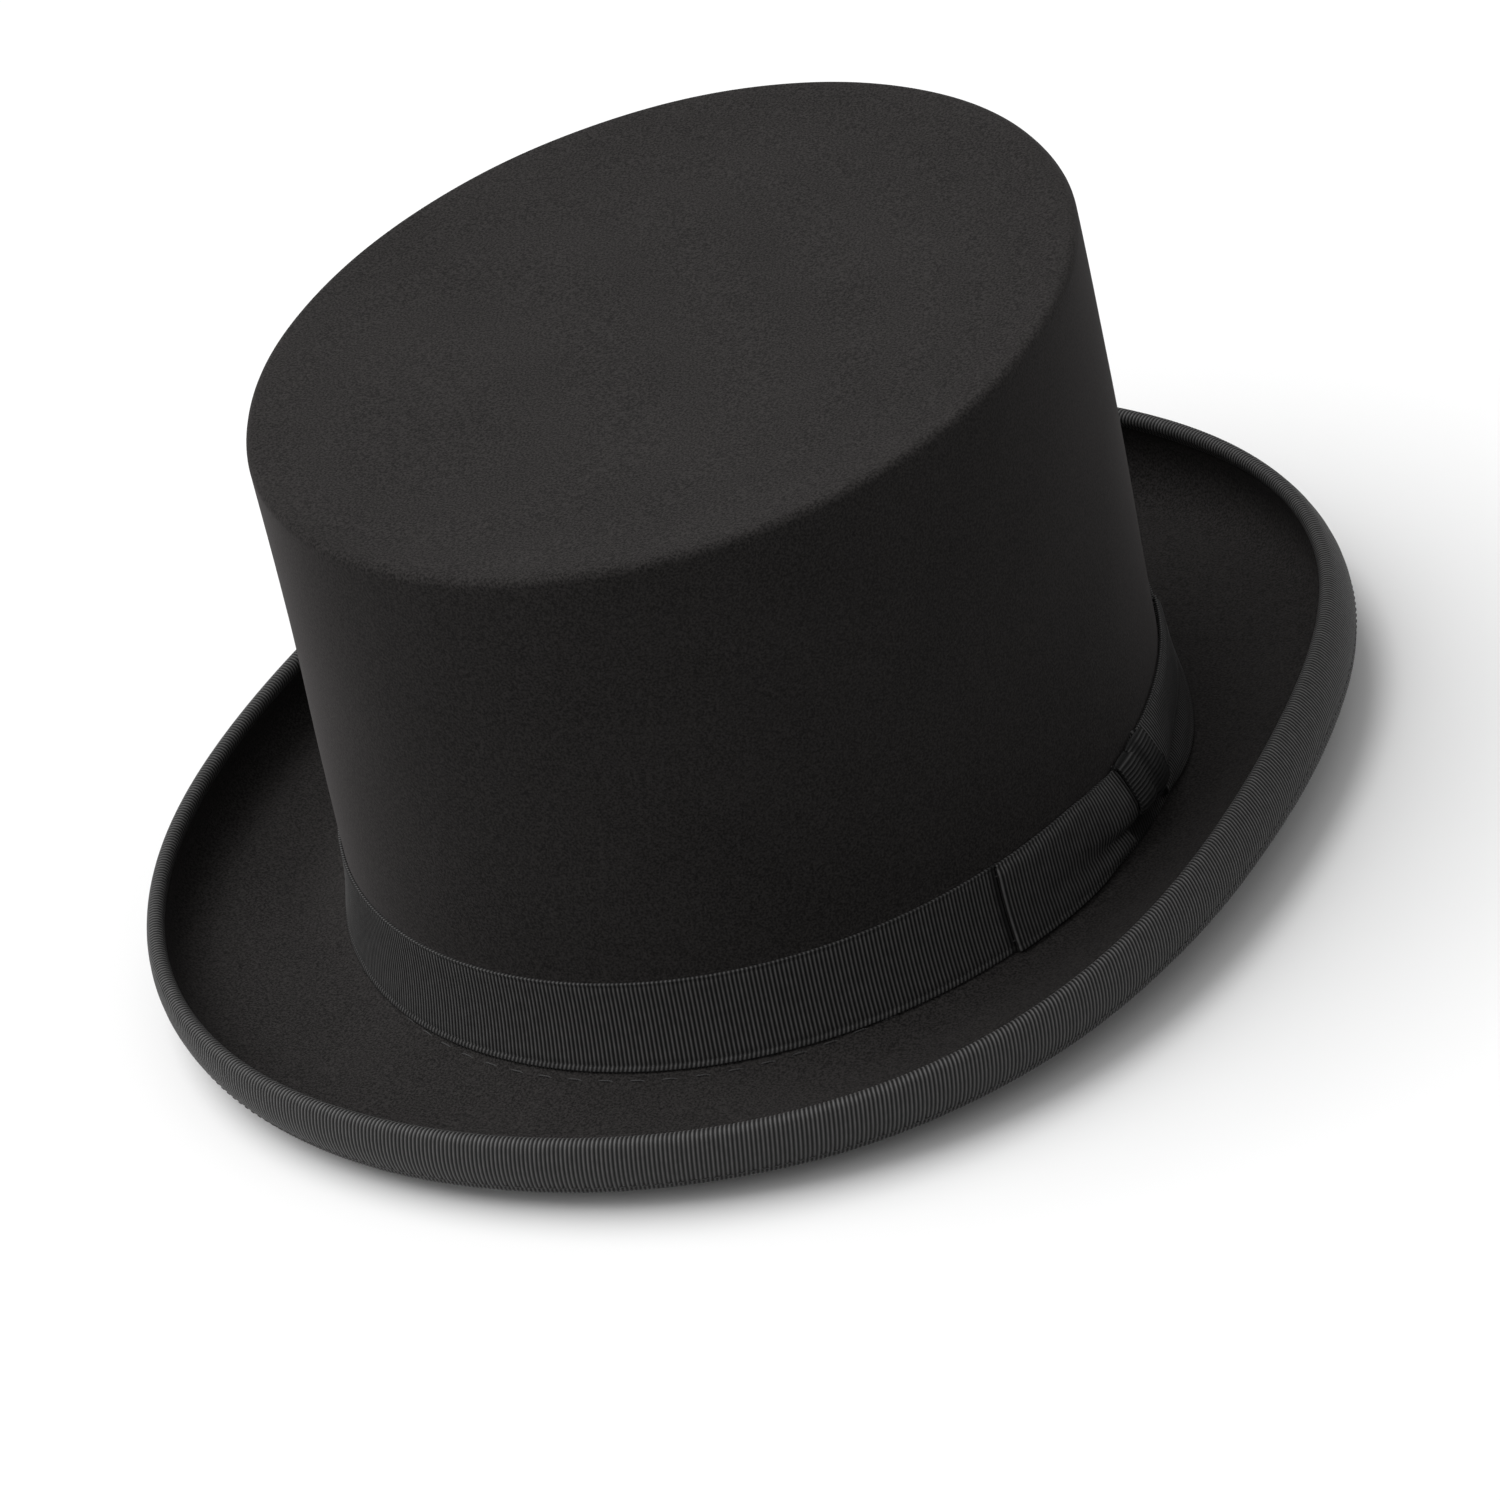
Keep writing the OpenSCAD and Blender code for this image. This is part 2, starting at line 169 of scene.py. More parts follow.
class Hat:
    """The hat's lines in millimetres. A place is (t, r, z): t is the angle round the head oval from
    the wearer's left towards the back, r the distance outside the oval, z the height."""

    gap = 0.08
    break_r, break_z, side_z = 6.0, 4.2, 14.4

    def __init__(self, sizes):
        """Takes the panel's sizes, and measures the length along the head oval."""
        for key in HatSizes.__annotations__:
            value = getattr(sizes, key)
            setattr(self, key, value if key == "roll_end" else 1000 * value)
        self.band_top = self.band_z + self.band_h
        fine = np.linspace(-math.pi, 3 * math.pi, 8001)
        x = self.crown_half_w * np.cos(fine)
        y = self.crown_half_l * np.sin(fine)
        run = np.concatenate([[0], np.cumsum(np.hypot(np.diff(x), np.diff(y)))])
        self._t, self._run = fine, run - np.interp(0.0, fine, run)
        self.oval_l = np.interp(2 * math.pi, fine, self._run)

    def angle_at(self, s):
        """Angle at the distance s along the head oval from the wearer's left."""
        return np.interp(s, self._run, self._t)

    def outward(self, t):
        """Unit normal (x, y) of the head oval at angle t: (cos t / a, sin t / b), made unit."""
        return unit(np.stack(np.broadcast_arrays(np.cos(t) / self.crown_half_w,
                                                 np.sin(t) / self.crown_half_l), -1))

    def level(self, t):
        """The level unit vectors (k, 3) out from the head oval and along it, at the angles t."""
        x, y = self.outward(t).T
        return np.stack([x, y, 0 * x], 1), np.stack([-y, x, 0 * x], 1)

    def uneven(self, t, r, z):
        """What hand blocking did to the head oval: a shallow hollow behind the wearer's left and a
        fullness opposite, each a bell curve of the angle, fading towards the tip and out on the brim."""
        fade = (1 - ramp(z, self.band_top, 88)) * (1 - ramp(r, 4, 22))
        return 1.5 * fade * (lobe(t, 212, 36) - lobe(t, 40, 27))

    def place(self, t, r, z):
        """The point r outside the oval at angle t and height z. Above the band the crown leans
        forward and the heights rise to the left and the back, in proportion to the height."""
        t, r, z = np.broadcast_arrays(t, r, z)
        n = self.outward(t)
        r = r + self.uneven(t, r, z)
        share = np.maximum(0, z - self.band_top) / (self.tip_z - self.band_top)
        x = self.crown_half_w * np.cos(t) + r * n[..., 0]
        y = self.crown_half_l * np.sin(t) + r * n[..., 1]
        rise = self.tip_left * x / self.crown_half_w + self.tip_back * y / self.crown_half_l
        return np.stack([x, y - share * self.crown_lean, z + share * rise], -1)

    def side(self, z):
        """Outer face of the crown's side: the taper grows in proportion to the height above the band."""
        return -self.crown_taper * np.maximum(0, z - self.band_top) / (self.tip_z - self.band_top)

    def wander(self, t, z):
        """Small unevenness of hand-blocked felt, a sum of long waves that fades out near the band."""
        wave = (0.14 * np.sin(3 * t + 1 + 0.02 * z) + 0.10 * np.sin(5 * t + 2.2 - 0.035 * z)
                + 0.05 * np.sin(9 * t + 0.6 + 0.07 * z) + 0.04 * np.sin(14 * t - 0.11 * z))
        return wave * ramp(z, self.band_top + 4, self.band_top + 34)

    def roll_out(self, t):
        """Outermost line of the rolled edge: the mean reach less waves of one, two and four turns."""
        return (self.brim_w - self.brim_oval * np.cos(2 * t) - self.brim_forward * np.sin(t)
                - 2.2 * np.cos(4 * t))

    def roll_rad(self, t):
        """Radius of the rolled edge, smaller at the sides."""
        return self.roll_r - 1.5 * np.cos(2 * t)

    def roll_mid(self, t):
        """Height of the middle of the roll: the lift at the sides, half the felt and the radius."""
        return self.side_lift * (1 - np.abs(np.sin(t)) ** 3) + self.felt_t / 2 + self.roll_rad(t)

    def roll_turn(self, t):
        """Angle past straight out at which the rolled felt ends."""
        return self.roll_end + np.radians(8 * np.cos(2 * t) + 6 * np.cos(4 * t) + 19 * np.sin(t)
                                          - 12 * np.maximum(0, np.sin(t)) ** 8)

    def roll(self, t, off, phi):
        """(r, z) at angle phi on the roll, off outside the middle of the felt."""
        rad = self.roll_rad(t)
        return (self.roll_out(t) - rad + (rad + off) * np.cos(phi),
                self.roll_mid(t) + (rad + off) * np.sin(phi))

    def curl(self, t, off, d):
        """(r, z) at the distance d down the roll from the end of the felt."""
        return self.roll(t, off, self.roll_turn(t) - d / (self.roll_rad(t) + off))

    def cap(self, t, extra, share):
        """(r, z) on the half circle over the end of the felt, share 0 outside to 1 inside."""
        r, z = self.roll(t, 0, self.roll_turn(t))
        phi = self.roll_turn(t) + math.pi * share
        h = self.felt_t / 2 + extra
        return r + h * np.cos(phi), z + h * np.sin(phi)

    def on_band(self, v, d, s=99.0):
        """(r, z) on the band's felt side at share v of its width, moved out by d; the lower edge
        stands out over the foot of the crown. The upper edge dips where the knot pulls on it, as a
        bell curve of the distance s from the knot."""
        dip = 1.9 * bell(s, -3, 9) * v
        return self.gap + d + 2.4 * (1 - v) ** 2, self.band_z + self.band_h * v - dip

    def rows(self, t, parts):
        """Points at the angles t from several (r, z) pairs of arrays, laid side by side."""
        return self.place(t, *(np.concatenate([part[k] for part in parts], 1) for k in (0, 1)))

    def on_brim(self, r):
        """Height of the brim's upper face at distance r from the crown, out to where it breaks."""
        a_r, a_z = cubic((0.0, self.side_z), (0.0, self.break_z + 3.2), (1.2, self.break_z + 0.8),
                         (self.break_r, self.break_z), 60)
        return np.interp(r, a_r, a_z)


# --- Meshes ----------------------------------------------------------------------------------

def volume(points, faces):
    """Signed volume: a sixth of the sum of p0 . (p1 x p2) over the fans of all faces."""
    total = 0.0
    for f in faces:
        p = points[f]
        for k in range(1, f.shape[1] - 1):
            total += np.einsum("ij,ij->", p[:, 0], np.cross(p[:, k], p[:, k + 1]))
    return total / 6


def new_piece(name, points, faces, uvs=None):
    """A mesh object from points in millimetres and a list of face arrays, one for each number of
    corners, with uvs as corner values in metres. It is turned so that its faces point outwards."""
    points = np.asarray(points, float) / 1000
    if volume(points, faces) < 0:
        faces = [f[:, ::-1] for f in faces]
        uvs = None if uvs is None else [u[:, ::-1] for u in uvs]
    mesh = bpy.data.meshes.new(name)
    mesh.vertices.add(len(points))
    mesh.vertices.foreach_set("co", points.ravel())
    corners = np.concatenate([f.ravel() for f in faces])
    counts = np.concatenate([np.full(len(f), f.shape[1]) for f in faces])
    starts = np.concatenate([[0], np.cumsum(counts)[:-1]])
    mesh.loops.add(len(corners))
    mesh.loops.foreach_set("vertex_index", corners.astype(np.int32))
    mesh.polygons.add(len(counts))
    mesh.polygons.foreach_set("loop_start", starts.astype(np.int32))
    mesh.update(calc_edges=True)
    if uvs is not None:
        layer = mesh.uv_layers.new(name="UVMap")
        layer.data.foreach_set("uv", np.concatenate([u.reshape(-1) for u in uvs]).astype(np.float32))
    mesh.polygons.foreach_set("use_smooth", np.full(len(counts), True))
    mesh.validate()
    piece = bpy.data.objects.new(name, mesh)
    bpy.context.scene.collection.objects.link(piece)
    return piece


def grid_faces(n, m, wrap_n, wrap_m):
    """Quads of an n by m grid of points, and the step and row numbers of their corners before
    any wrap."""
    i, j = np.meshgrid(np.arange(n if wrap_n else n - 1), np.arange(m if wrap_m else m - 1), indexing="ij")
    step = np.stack([i, i + 1, i + 1, i], -1).reshape(-1, 4)
    row = np.stack([j, j, j + 1, j + 1], -1).reshape(-1, 4)
    return (step % n) * m + row % m, step, row


def fan(ring, middle):
    """Triangles from the middle point to each step of a closed ring, all by their numbers."""
    return np.stack([np.full(len(ring), middle), np.roll(ring, -1), ring], 1)


def both_faces(across):
    """Places round a flat section: out over one face, back over the other, and the first again."""
    return np.concatenate([across, across[::-1], across[:1]])


def tube(points, along, across, wrap):
    """Points (n, m, 3) of a closed section carried along a path, and its faces and uvs. along has
    n values, and one more where it wraps; across has m + 1. Open ends get one face each."""
    n, m = points.shape[:2]
    quads, step, row = grid_faces(n, m, wrap, True)
    uv = np.stack([along[step], across[row]], -1)
    faces, uvs = [quads], [uv]
    if not wrap:
        first = np.arange(m)[::-1]
        ends = np.stack([first, np.arange(m) + (n - 1) * m])
        faces.append(ends)
        uvs.append(np.stack([np.zeros((2, m)), np.stack([across[:-1][::-1], across[:-1]])], -1))
    return points.reshape(-1, 3), faces, uvs


def join(parts):
    """Several (points, faces, uvs) as one."""
    points, faces, uvs, base = [], [], [], 0
    for p, f, u in parts:
        points.append(p)
        faces += [a + base for a in f]
        uvs += u
        base += len(p)
    return np.concatenate(points), faces, uvs


def ribbon(centre, thickness, ribs, wrap, along, across):
    """A ribbon round a sheet of points (n, m, 3): its two faces lie half the thickness to either
    side along the sheet's normal, and ribs (n, m) raises both. Returns points, faces and uvs."""
    if wrap:
        du = np.roll(centre, -1, 0) - np.roll(centre, 1, 0)
    else:
        du = np.gradient(centre, axis=0)
    dv = np.gradient(centre, axis=1)
    lift = (thickness / 2 + ribs)[..., None] * unit(np.cross(du, dv))
    points = np.concatenate([centre + lift, (centre - lift)[:, ::-1]], 1)
    return tube(points, along, both_faces(across), wrap)


def stitches(mid, along, out, run, radius, rings=5, sides=6):
    """Rows of short stitches: each is a thread of the given run and radius, bowed so that its ends
    dip into the cloth. mid, along and out are (k, 3) arrays."""
    side = np.cross(along, out)
    s = np.linspace(-1, 1, rings)[:, None, None]
    phi = np.linspace(0, 2 * math.pi, sides, endpoint=False)[None, :, None]
    wide = radius * np.sqrt(np.clip(1 - s ** 4, 0.12, 1))
    a, o, d = (v[:, None, None, :] for v in (along, out, side))
    points = (mid[:, None, None, :] + 0.5 * run * s * a
              + (wide * np.cos(phi) + radius * (0.5 - 1.6 * s ** 4)) * o + wide * np.sin(phi) * d)
    k, block = len(mid), rings * sides
    quads, step, row = grid_faces(rings, sides, False, True)
    cap = np.stack([np.arange(sides)[::-1], np.arange(sides) + (rings - 1) * sides])
    base = (np.arange(k) * block)[:, None, None]
    uv = np.stack([step / (rings - 1) * run / 1000, row / sides * 2 * math.pi * radius / 1000], -1)
    return (points.reshape(-1, 3),
            [(quads[None] + base).reshape(-1, 4), (cap[None] + base).reshape(-1, sides)],
            [np.tile(uv, (k, 1, 1)), np.zeros((2 * k, sides, 2))])


def rib_phases(length_mm, pitch, steps):
    """The phase, one for each rib of a ribbon of that length, with so many steps to a rib. The
    ribs are a whole number, so the last phase is their count."""
    count = int(round(length_mm / pitch))
    return np.linspace(0, count, steps * count + 1)


def rib(phase):
    """Height 0 to 1 of a round rib: the arch of |sin(pi phase)|, flattened a little on top."""
    return np.abs(np.sin(math.pi * phase)) ** 0.8


# --- Materials -------------------------------------------------------------------------------

def feed(node, inputs):
    """Gives the inputs of a node their values, or links them to output sockets."""
    for key, value in inputs.items():
        if isinstance(value, bpy.types.NodeSocket):
            node.id_data.links.new(value, node.inputs[key])
        else:
            node.inputs[key].default_value = value
    return node


def add(tree, kind, inputs=None, **settings):
    """A node of that kind with its settings, and values or output sockets for its inputs."""
    node = tree.nodes.new(kind)
    for key, value in settings.items():
        setattr(node, key, value)
    return feed(node, inputs or {})


def maths(tree, operation, a, b=0.0, c=0.0, clamp=False):
    """Output of a Math node."""
    return add(tree, "ShaderNodeMath", {0: a, 1: b, 2: c}, operation=operation, use_clamp=clamp).outputs[0]


def times(tree, a, b):
    """Output of a Math node: a times b."""
    return maths(tree, "MULTIPLY", a, b)


def arch(tree, x):
    """Output of Math nodes: |sin(pi x)|."""
    return maths(tree, "ABSOLUTE", maths(tree, "SINE", times(tree, x, math.pi)))


def tinted(tree, tint, tone):
    """Output of a Vector Math node: the colour times the tone."""
    return add(tree, "ShaderNodeVectorMath", {0: tint, "Scale": tone}, operation="SCALE").outputs["Vector"]


def blend(tree, share, a, b):
    """Output of a colour Mix node: share of b over a."""
    return add(tree, "ShaderNodeMix", {0: share, 6: a, 7: b}, data_type="RGBA").outputs[2]


def spread(tree, value, low, high, out_low, out_high):
    """Output of a smooth Map Range node."""
    return add(tree, "ShaderNodeMapRange", {"Value": value, "From Min": low, "From Max": high,
                                            "To Min": out_low, "To Max": out_high},
               interpolation_type="SMOOTHSTEP").outputs["Result"]


def noise(tree, at, scale, detail, **more):
    """Output of a Noise Texture node."""
    return add(tree, "ShaderNodeTexNoise",
               {"Vector": at, "Scale": scale, "Detail": detail, **more}).outputs["Fac"]


def group(name, values, fill):
    """A shader node group, built once. Its inputs are a Vector, a Colour and the named values, and
    fill(tree, given) returns its outputs by name: Colour, Height and Roughness."""
    tree = bpy.data.node_groups.get(name)
    if tree:
        return tree
    tree = bpy.data.node_groups.new(name, "ShaderNodeTree")
    tree.interface.new_socket("Vector", in_out="INPUT", socket_type="NodeSocketVector")
    for label, value in {"Colour": (0.02, 0.02, 0.02, 1), **values}.items():
        kind = "NodeSocketColor" if isinstance(value, tuple) else "NodeSocketFloat"
        tree.interface.new_socket(label, in_out="INPUT", socket_type=kind).default_value = value
    made = fill(tree, tree.nodes.new("NodeGroupInput").outputs)
    for label in made:
        kind = "NodeSocketColor" if label == "Colour" else "NodeSocketFloat"
        tree.interface.new_socket(label, in_out="OUTPUT", socket_type=kind)
    feed(tree.nodes.new("NodeGroupOutput"), made)
    return tree


def fibre_group():
    """Felt: fine grain, soft larger clouds and a few loose light hairs."""
    def fill(tree, given):
        at = given["Vector"]
        grain = noise(tree, at, given["Grain"], 3.0, Roughness=0.65)
        cloud = noise(tree, at, 24.0, 4.0, Roughness=0.6)
        long_way = add(tree, "ShaderNodeMapping", {"Vector": at, "Scale": (1.0, 1.0, 0.22),
                                                   "Rotation": (0.5, 0.3, 0.2)}).outputs["Vector"]
        hair = spread(tree, noise(tree, long_way, 2300.0, 1.0, Distortion=1.2), 0.70, 0.80, 0.0, 1.0)
        tone = maths(tree, "ADD", spread(tree, grain, 0.34, 0.66, 0.4, 1.6),
                     spread(tree, cloud, 0.3, 0.7, -0.08, 0.08))
        return {"Colour": blend(tree, times(tree, hair, given["Hairs"]), tinted(tree, given["Colour"], tone),
                                given["Hair Colour"]),
                "Height": maths(tree, "ADD", grain, times(tree, hair, 0.1)),
                "Roughness": spread(tree, grain, 0.3, 0.7, 0.86, 0.98)}
    return group("Felt fibres", {"Hair Colour": (0.06, 0.06, 0.06, 1), "Grain": 2000.0, "Hairs": 0.3}, fill)


def weave_group():
    """Cloth from its own map: fine warp threads that run along it and pass over every other weft,
    with slight differences from thread to thread. The grooves between the ribs are darkened as painted
    shade, and where the painted fold shade is 1 the cloth goes dark."""
    def fill(tree, given):
        depth = given["Rib Depth"]
        parts = add(tree, "ShaderNodeSeparateXYZ", {0: given["Vector"]})
        cross = arch(tree, maths(tree, "DIVIDE", parts.outputs["X"], given["Weft Pitch"]))
        thread = arch(tree, maths(tree, "DIVIDE", parts.outputs["Y"], given["Warp Pitch"]))
        varied = noise(tree, given["Vector"], 420.0, 3.0)
        # painted shade deep in folds, read from the shade attribute that shade_folds writes
        shade = add(tree, "ShaderNodeAttribute", attribute_name="shade").outputs["Fac"]
        # painted shade in the grooves: between the lit rib crests the colour is darkened towards black by the
        # given share
        painted_groove_shade = maths(tree, "MULTIPLY_ADD", maths(tree, "POWER", cross, given["Rib Power"]), depth,
                       maths(tree, "SUBTRACT", 1.0, depth))
        uneven = maths(tree, "MULTIPLY_ADD", maths(tree, "SUBTRACT", varied, 0.5),
                       times(tree, depth, 0.9), 1.0)
        tone = times(tree, times(tree, painted_groove_shade, spread(tree, thread, 0, 1, 0.84, 1.1)),
                     times(tree, maths(tree, "SUBTRACT", 1.0, shade), uneven))
        return {"Colour": tinted(tree, given["Colour"], tone), "Height": thread,
                "Roughness": spread(tree, cross, 0.0, 1.0, 0.8, 0.5)}
    return group("Ribbon weave", {"Weft Pitch": 0.00095, "Warp Pitch": 0.00026, "Rib Depth": 0.97,
                                  "Rib Power": 4.5}, fill)


def twist_group():
    """Spun thread from its own map: slanted strands."""
    def fill(tree, given):
        parts = add(tree, "ShaderNodeSeparateXYZ", {0: given["Vector"]})
        strand = arch(tree, maths(tree, "ADD", maths(tree, "DIVIDE", parts.outputs["X"], given["Pitch"]),
                                  maths(tree, "DIVIDE", parts.outputs["Y"], given["Girth"])))
        return {"Colour": tinted(tree, given["Colour"], spread(tree, strand, 0.0, 1.0, 0.6, 1.2)),
                "Height": strand}
    return group("Spun thread", {"Pitch": 0.0006, "Girth": 0.0008}, fill)


def grain_group():
    """Leather: small cells with creases between them, and soft wear."""
    def fill(tree, given):
        at = given["Vector"]
        cells = add(tree, "ShaderNodeTexVoronoi", {"Vector": at, "Scale": given["Cells"]},
                    feature="DISTANCE_TO_EDGE").outputs["Distance"]
        crease = spread(tree, cells, 0.0, 0.12, 0.0, 1.0)
        cloud = noise(tree, at, 60.0, 5.0)
        tone = times(tree, spread(tree, crease, 0.0, 1.0, 0.6, 1.0), spread(tree, cloud, 0.3, 0.7, 0.8, 1.25))
        return {"Colour": tinted(tree, given["Colour"], tone), "Height": maths(tree, "ADD", crease, cloud),
                "Roughness": spread(tree, cloud, 0.3, 0.7, 0.42, 0.6)}
    return group("Leather grain", {"Cells": 1100.0}, fill)


def finish(name, which, inputs, coordinates, bump, shader):
    """A material: one effect group feeds the colour, the roughness and the bump of a Principled
    shader, whose plain values are in shader. Built once for each name."""
    material = bpy.data.materials.get(name)
    if material:
        return material
    material = bpy.data.materials.new(name)
    material.use_nodes = True
    tree = material.node_tree
    body = feed(tree.nodes["Principled BSDF"], shader)
    where = add(tree, "ShaderNodeTexCoord").outputs[coordinates]
    effect = add(tree, "ShaderNodeGroup", {"Vector": where, **inputs}, node_tree=which).outputs
    relief = add(tree, "ShaderNodeBump", {"Height": effect["Height"], "Strength": bump[0],
                                          "Distance": bump[1]})
    feed(body, {"Base Color": effect["Colour"], "Normal": relief.outputs["Normal"]})
    if "Roughness" in effect:
        feed(body, {"Roughness": effect["Roughness"]})
    return material


def rgba(colour_value, share=1.0):
    """A colour property as four numbers."""
    return tuple(share * c for c in colour_value) + (1.0,)


def felt_finish(c):
    """Stiffened black felt with a fine matted nap."""
    return finish("matted felt", fibre_group(), {"Colour": rgba(c.felt), "Hair Colour": rgba(c.felt, 3.2)},
                  "Object", (0.35, 0.00012),
                  {"Specular IOR Level": 0.1, "Sheen Weight": 0.14, "Sheen Roughness": 0.4,
                   "Sheen Tint": (0.64, 0.60, 0.60, 1)})


def ribbon_finish(c, sizes, name="grosgrain", share=1.0, power=4.5):
    """Black grosgrain with a soft sheen, in a share of its colour, with painted shade in the grooves
    between its ribs; the lit rib crests are narrower where power is high."""
    return finish(name, weave_group(), {"Colour": rgba(c.ribbon, share), "Weft Pitch": sizes.rib_pitch,
                                        "Rib Power": power},
                  "UV", (0.4, 0.00005),
                  {"Specular IOR Level": 0.3, "Sheen Weight": 0.05, "Sheen Roughness": 0.4,
                   "Sheen Tint": (0.62, 0.60, 0.60, 1)})


def thread_finish(c):
    """Black sewing thread."""
    return finish("sewing thread", twist_group(), {"Colour": rgba(c.thread)}, "UV", (0.6, 0.00005),
                  {"Roughness": 0.6, "Specular IOR Level": 0.4, "Sheen Weight": 0.1})


def leather_finish(c):
    """Dark brown smooth leather."""
    return finish("smooth leather", grain_group(), {"Colour": rgba(c.leather)}, "Object", (0.3, 0.0001),
                  {"Specular IOR Level": 0.5})


def satin_finish(name, value, pitch):
    """Woven satin in that colour."""
    return finish(name, weave_group(), {"Colour": rgba(value), "Weft Pitch": pitch, "Warp Pitch": pitch,
                                        "Rib Depth": 0.12}, "UV", (0.12, 0.00003),
                  {"Specular IOR Level": 0.6, "Anisotropic": 0.5, "Sheen Weight": 0.2})


def reed_finish(c):
    """Slightly cloudy plastic."""
    return finish("reed plastic", grain_group(), {"Colour": rgba(c.reed), "Cells": 300.0}, "Object",
                  (0.08, 0.00005), {"Specular IOR Level": 0.5, "Subsurface Weight": 0.1})


def shade_folds(piece, spots):
    """Paints shade on the cloth deep in a fold, as the shade attribute that darkens its colour: share =
    max over the spots (middle in mm, reach in mm, depth) of depth * exp(-(distance / reach)^4)."""
    xyz = np.empty(3 * len(piece.data.vertices))
    piece.data.vertices.foreach_get("co", xyz)
    share = np.zeros(len(xyz) // 3)
    for middle, reach, depth in spots:
        away = np.linalg.norm(1000 * xyz.reshape(-1, 3) - middle, axis=1)
        share = np.maximum(share, depth * bell(away, 0, reach, 4))
    piece.data.attributes.new("shade", "FLOAT", "POINT").data.foreach_set("value", share)


def finished(piece, material, node):
    """Puts the material on a piece, which stands for the CAD node and rides with the hat."""
    piece.data.materials.clear()
    piece.data.materials.append(material)
    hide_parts(node)
    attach(piece, "root")
    return piece


# --- Pieces ----------------------------------------------------------------------------------

class HatOperator:
    """What the building operators share: the hat's lines and its colours."""
    bl_options = {"REGISTER", "UNDO"}

    def start(self, context):
        """The lines, the sizes and the colours, from the panel."""
        return Hat(context.scene.hat_sizes), context.scene.hat_sizes, context.scene.hat_colours


class TOPHAT_OT_felt_body(HatOperator, Operator):
    """Build the felt crown and brim"""
    bl_idname = "tophat.felt_body"
    bl_label = "Felt body"

    def execute(self, context):
        """One closed skin of rings round the head oval: the tip, its rounded edge, the side, the brim
        and its roll, then round the felt's end and back inside, one thickness of felt away."""
        hat, _, colours = self.start(context)
        t = np.linspace(0, 2 * math.pi, 480, endpoint=False)[:, None]
        ft = hat.felt_t

        def ring(r, z, share, sag):
            """Shares of the way from the middle of the tip to its rim, sagging by a little."""
            mid = np.array([0, -hat.crown_lean, z])
            rim = hat.place(t, r, z)
            rows = mid + (rim - mid) * share[None, :, None]
            rows[..., 2] -= sag * (1 - share[None] ** 4)
            return rows

        edge = hat.tip_edge_r
        rim_r = hat.side(hat.tip_z) + hat.wander(t, hat.tip_z)
        tip = ring(rim_r - edge, hat.tip_z, np.linspace(0, 1, 24), 1.5)
        phi = np.radians(90 - np.linspace(0, 90, 8)[None, 1:])
        round_edge = hat.place(t, rim_r - edge + edge * np.cos(phi), hat.tip_z - edge + edge * np.sin(phi))
        z = np.linspace(hat.tip_z - edge, hat.side_z, 34)[None, 1:]
        side = hat.place(t, hat.side(z) + hat.wander(t, z), z)
        run_r, run_z = self.top_of_brim(hat, t)
        crease = 0.14 * bell(run_r, 8.5, 0.9)
        end = hat.roll_turn(t)
        share = np.linspace(0, 1, 15)[None, 1:]
        inner = hat.roll(t, -ft / 2, -math.pi / 2 + (end + math.pi / 2) * share)
        cap = hat.cap(t, 0, 1 - np.linspace(0, 1, 7)[None, 1:-1])
        outer = hat.roll(t, ft / 2, -math.pi / 2 + (end + math.pi / 2) * np.linspace(1, 0, 15)[None])
        d_r, d_z = np.gradient(run_r, axis=1), np.gradient(run_z, axis=1)
        size = np.hypot(d_r, d_z)
        under_r = (run_r + ft * d_z / size)[:, ::-1][:, 1:]
        under_z = (run_z - ft * d_r / size)[:, ::-1][:, 1:]
        z_in = np.linspace(hat.side_z, hat.tip_z - ft - 3, 12)[None]
        inside = hat.place(t, hat.side(z_in) - ft, z_in)
        psi = np.linspace(0, math.pi / 2, 5)[None, 1:]
        r_in = hat.side(hat.tip_z) - ft
        inner_edge = hat.place(t, r_in - 3 + 3 * np.cos(psi), hat.tip_z - ft - 3 + 3 * np.sin(psi))
        roof = ring(r_in - 3 + 0 * t, hat.tip_z - ft, np.linspace(1, 0, 10)[1:], 0.0)
        rows = [tip, round_edge, side, hat.place(t, run_r, run_z + crease), hat.place(t, *inner),
                hat.place(t, *cap), hat.place(t, *outer), hat.place(t, under_r, under_z), inside,
                inner_edge, roof]
        grid = np.concatenate(rows, 1)
        n, m = grid.shape[:2]
        body = grid[:, 1:-1]
        quads, _, _ = grid_faces(n, m - 2, True, False)
        points = np.concatenate([body.reshape(-1, 3), grid[0, :1], grid[0, -1:]])
        i = np.arange(n)
        first, last = i * (m - 2), i * (m - 2) + m - 3
        top, bottom = n * (m - 2), n * (m - 2) + 1
        fans = np.concatenate([fan(first, top), fan(last, bottom)[:, [0, 2, 1]]])
        piece = new_piece("felt_crown_and_brim", points, [quads, fans])
        finished(piece, felt_finish(colours), "felt_body")
        return {"FINISHED"}

    def top_of_brim(self, hat, t):
        """(r, z) of the felt's upper face from the foot of the crown to the bottom of the roll: two
        Bezier curves that meet at the break."""
        zero = 0 * t
        low = hat.roll(t, -hat.felt_t / 2, -math.pi / 2)
        at_break = (hat.break_r + zero, hat.break_z + zero)
        fall = cubic((zero, hat.side_z + zero), (zero, hat.break_z + 3.2 + zero),
                     (1.2 + zero, hat.break_z + 0.8 + zero), at_break, 10)
        out = cubic(at_break, (hat.break_r + 8 + zero, hat.break_z - 1.6 + zero),
                    (low[0] - 9, low[1]), low, 14)
        return [np.concatenate([a[:, 1:], b[:, 1:]], 1) for a, b in zip(fall, out)]


def edge_rows():
    """Shares across a ribbon, close together at its two selvedges."""
    return np.concatenate([[0, 0.012, 0.03, 0.045, 0.06, 0.08], np.linspace(0.14, 0.86, 9),
                           [0.92, 0.945, 0.96, 0.975, 0.99, 1]])


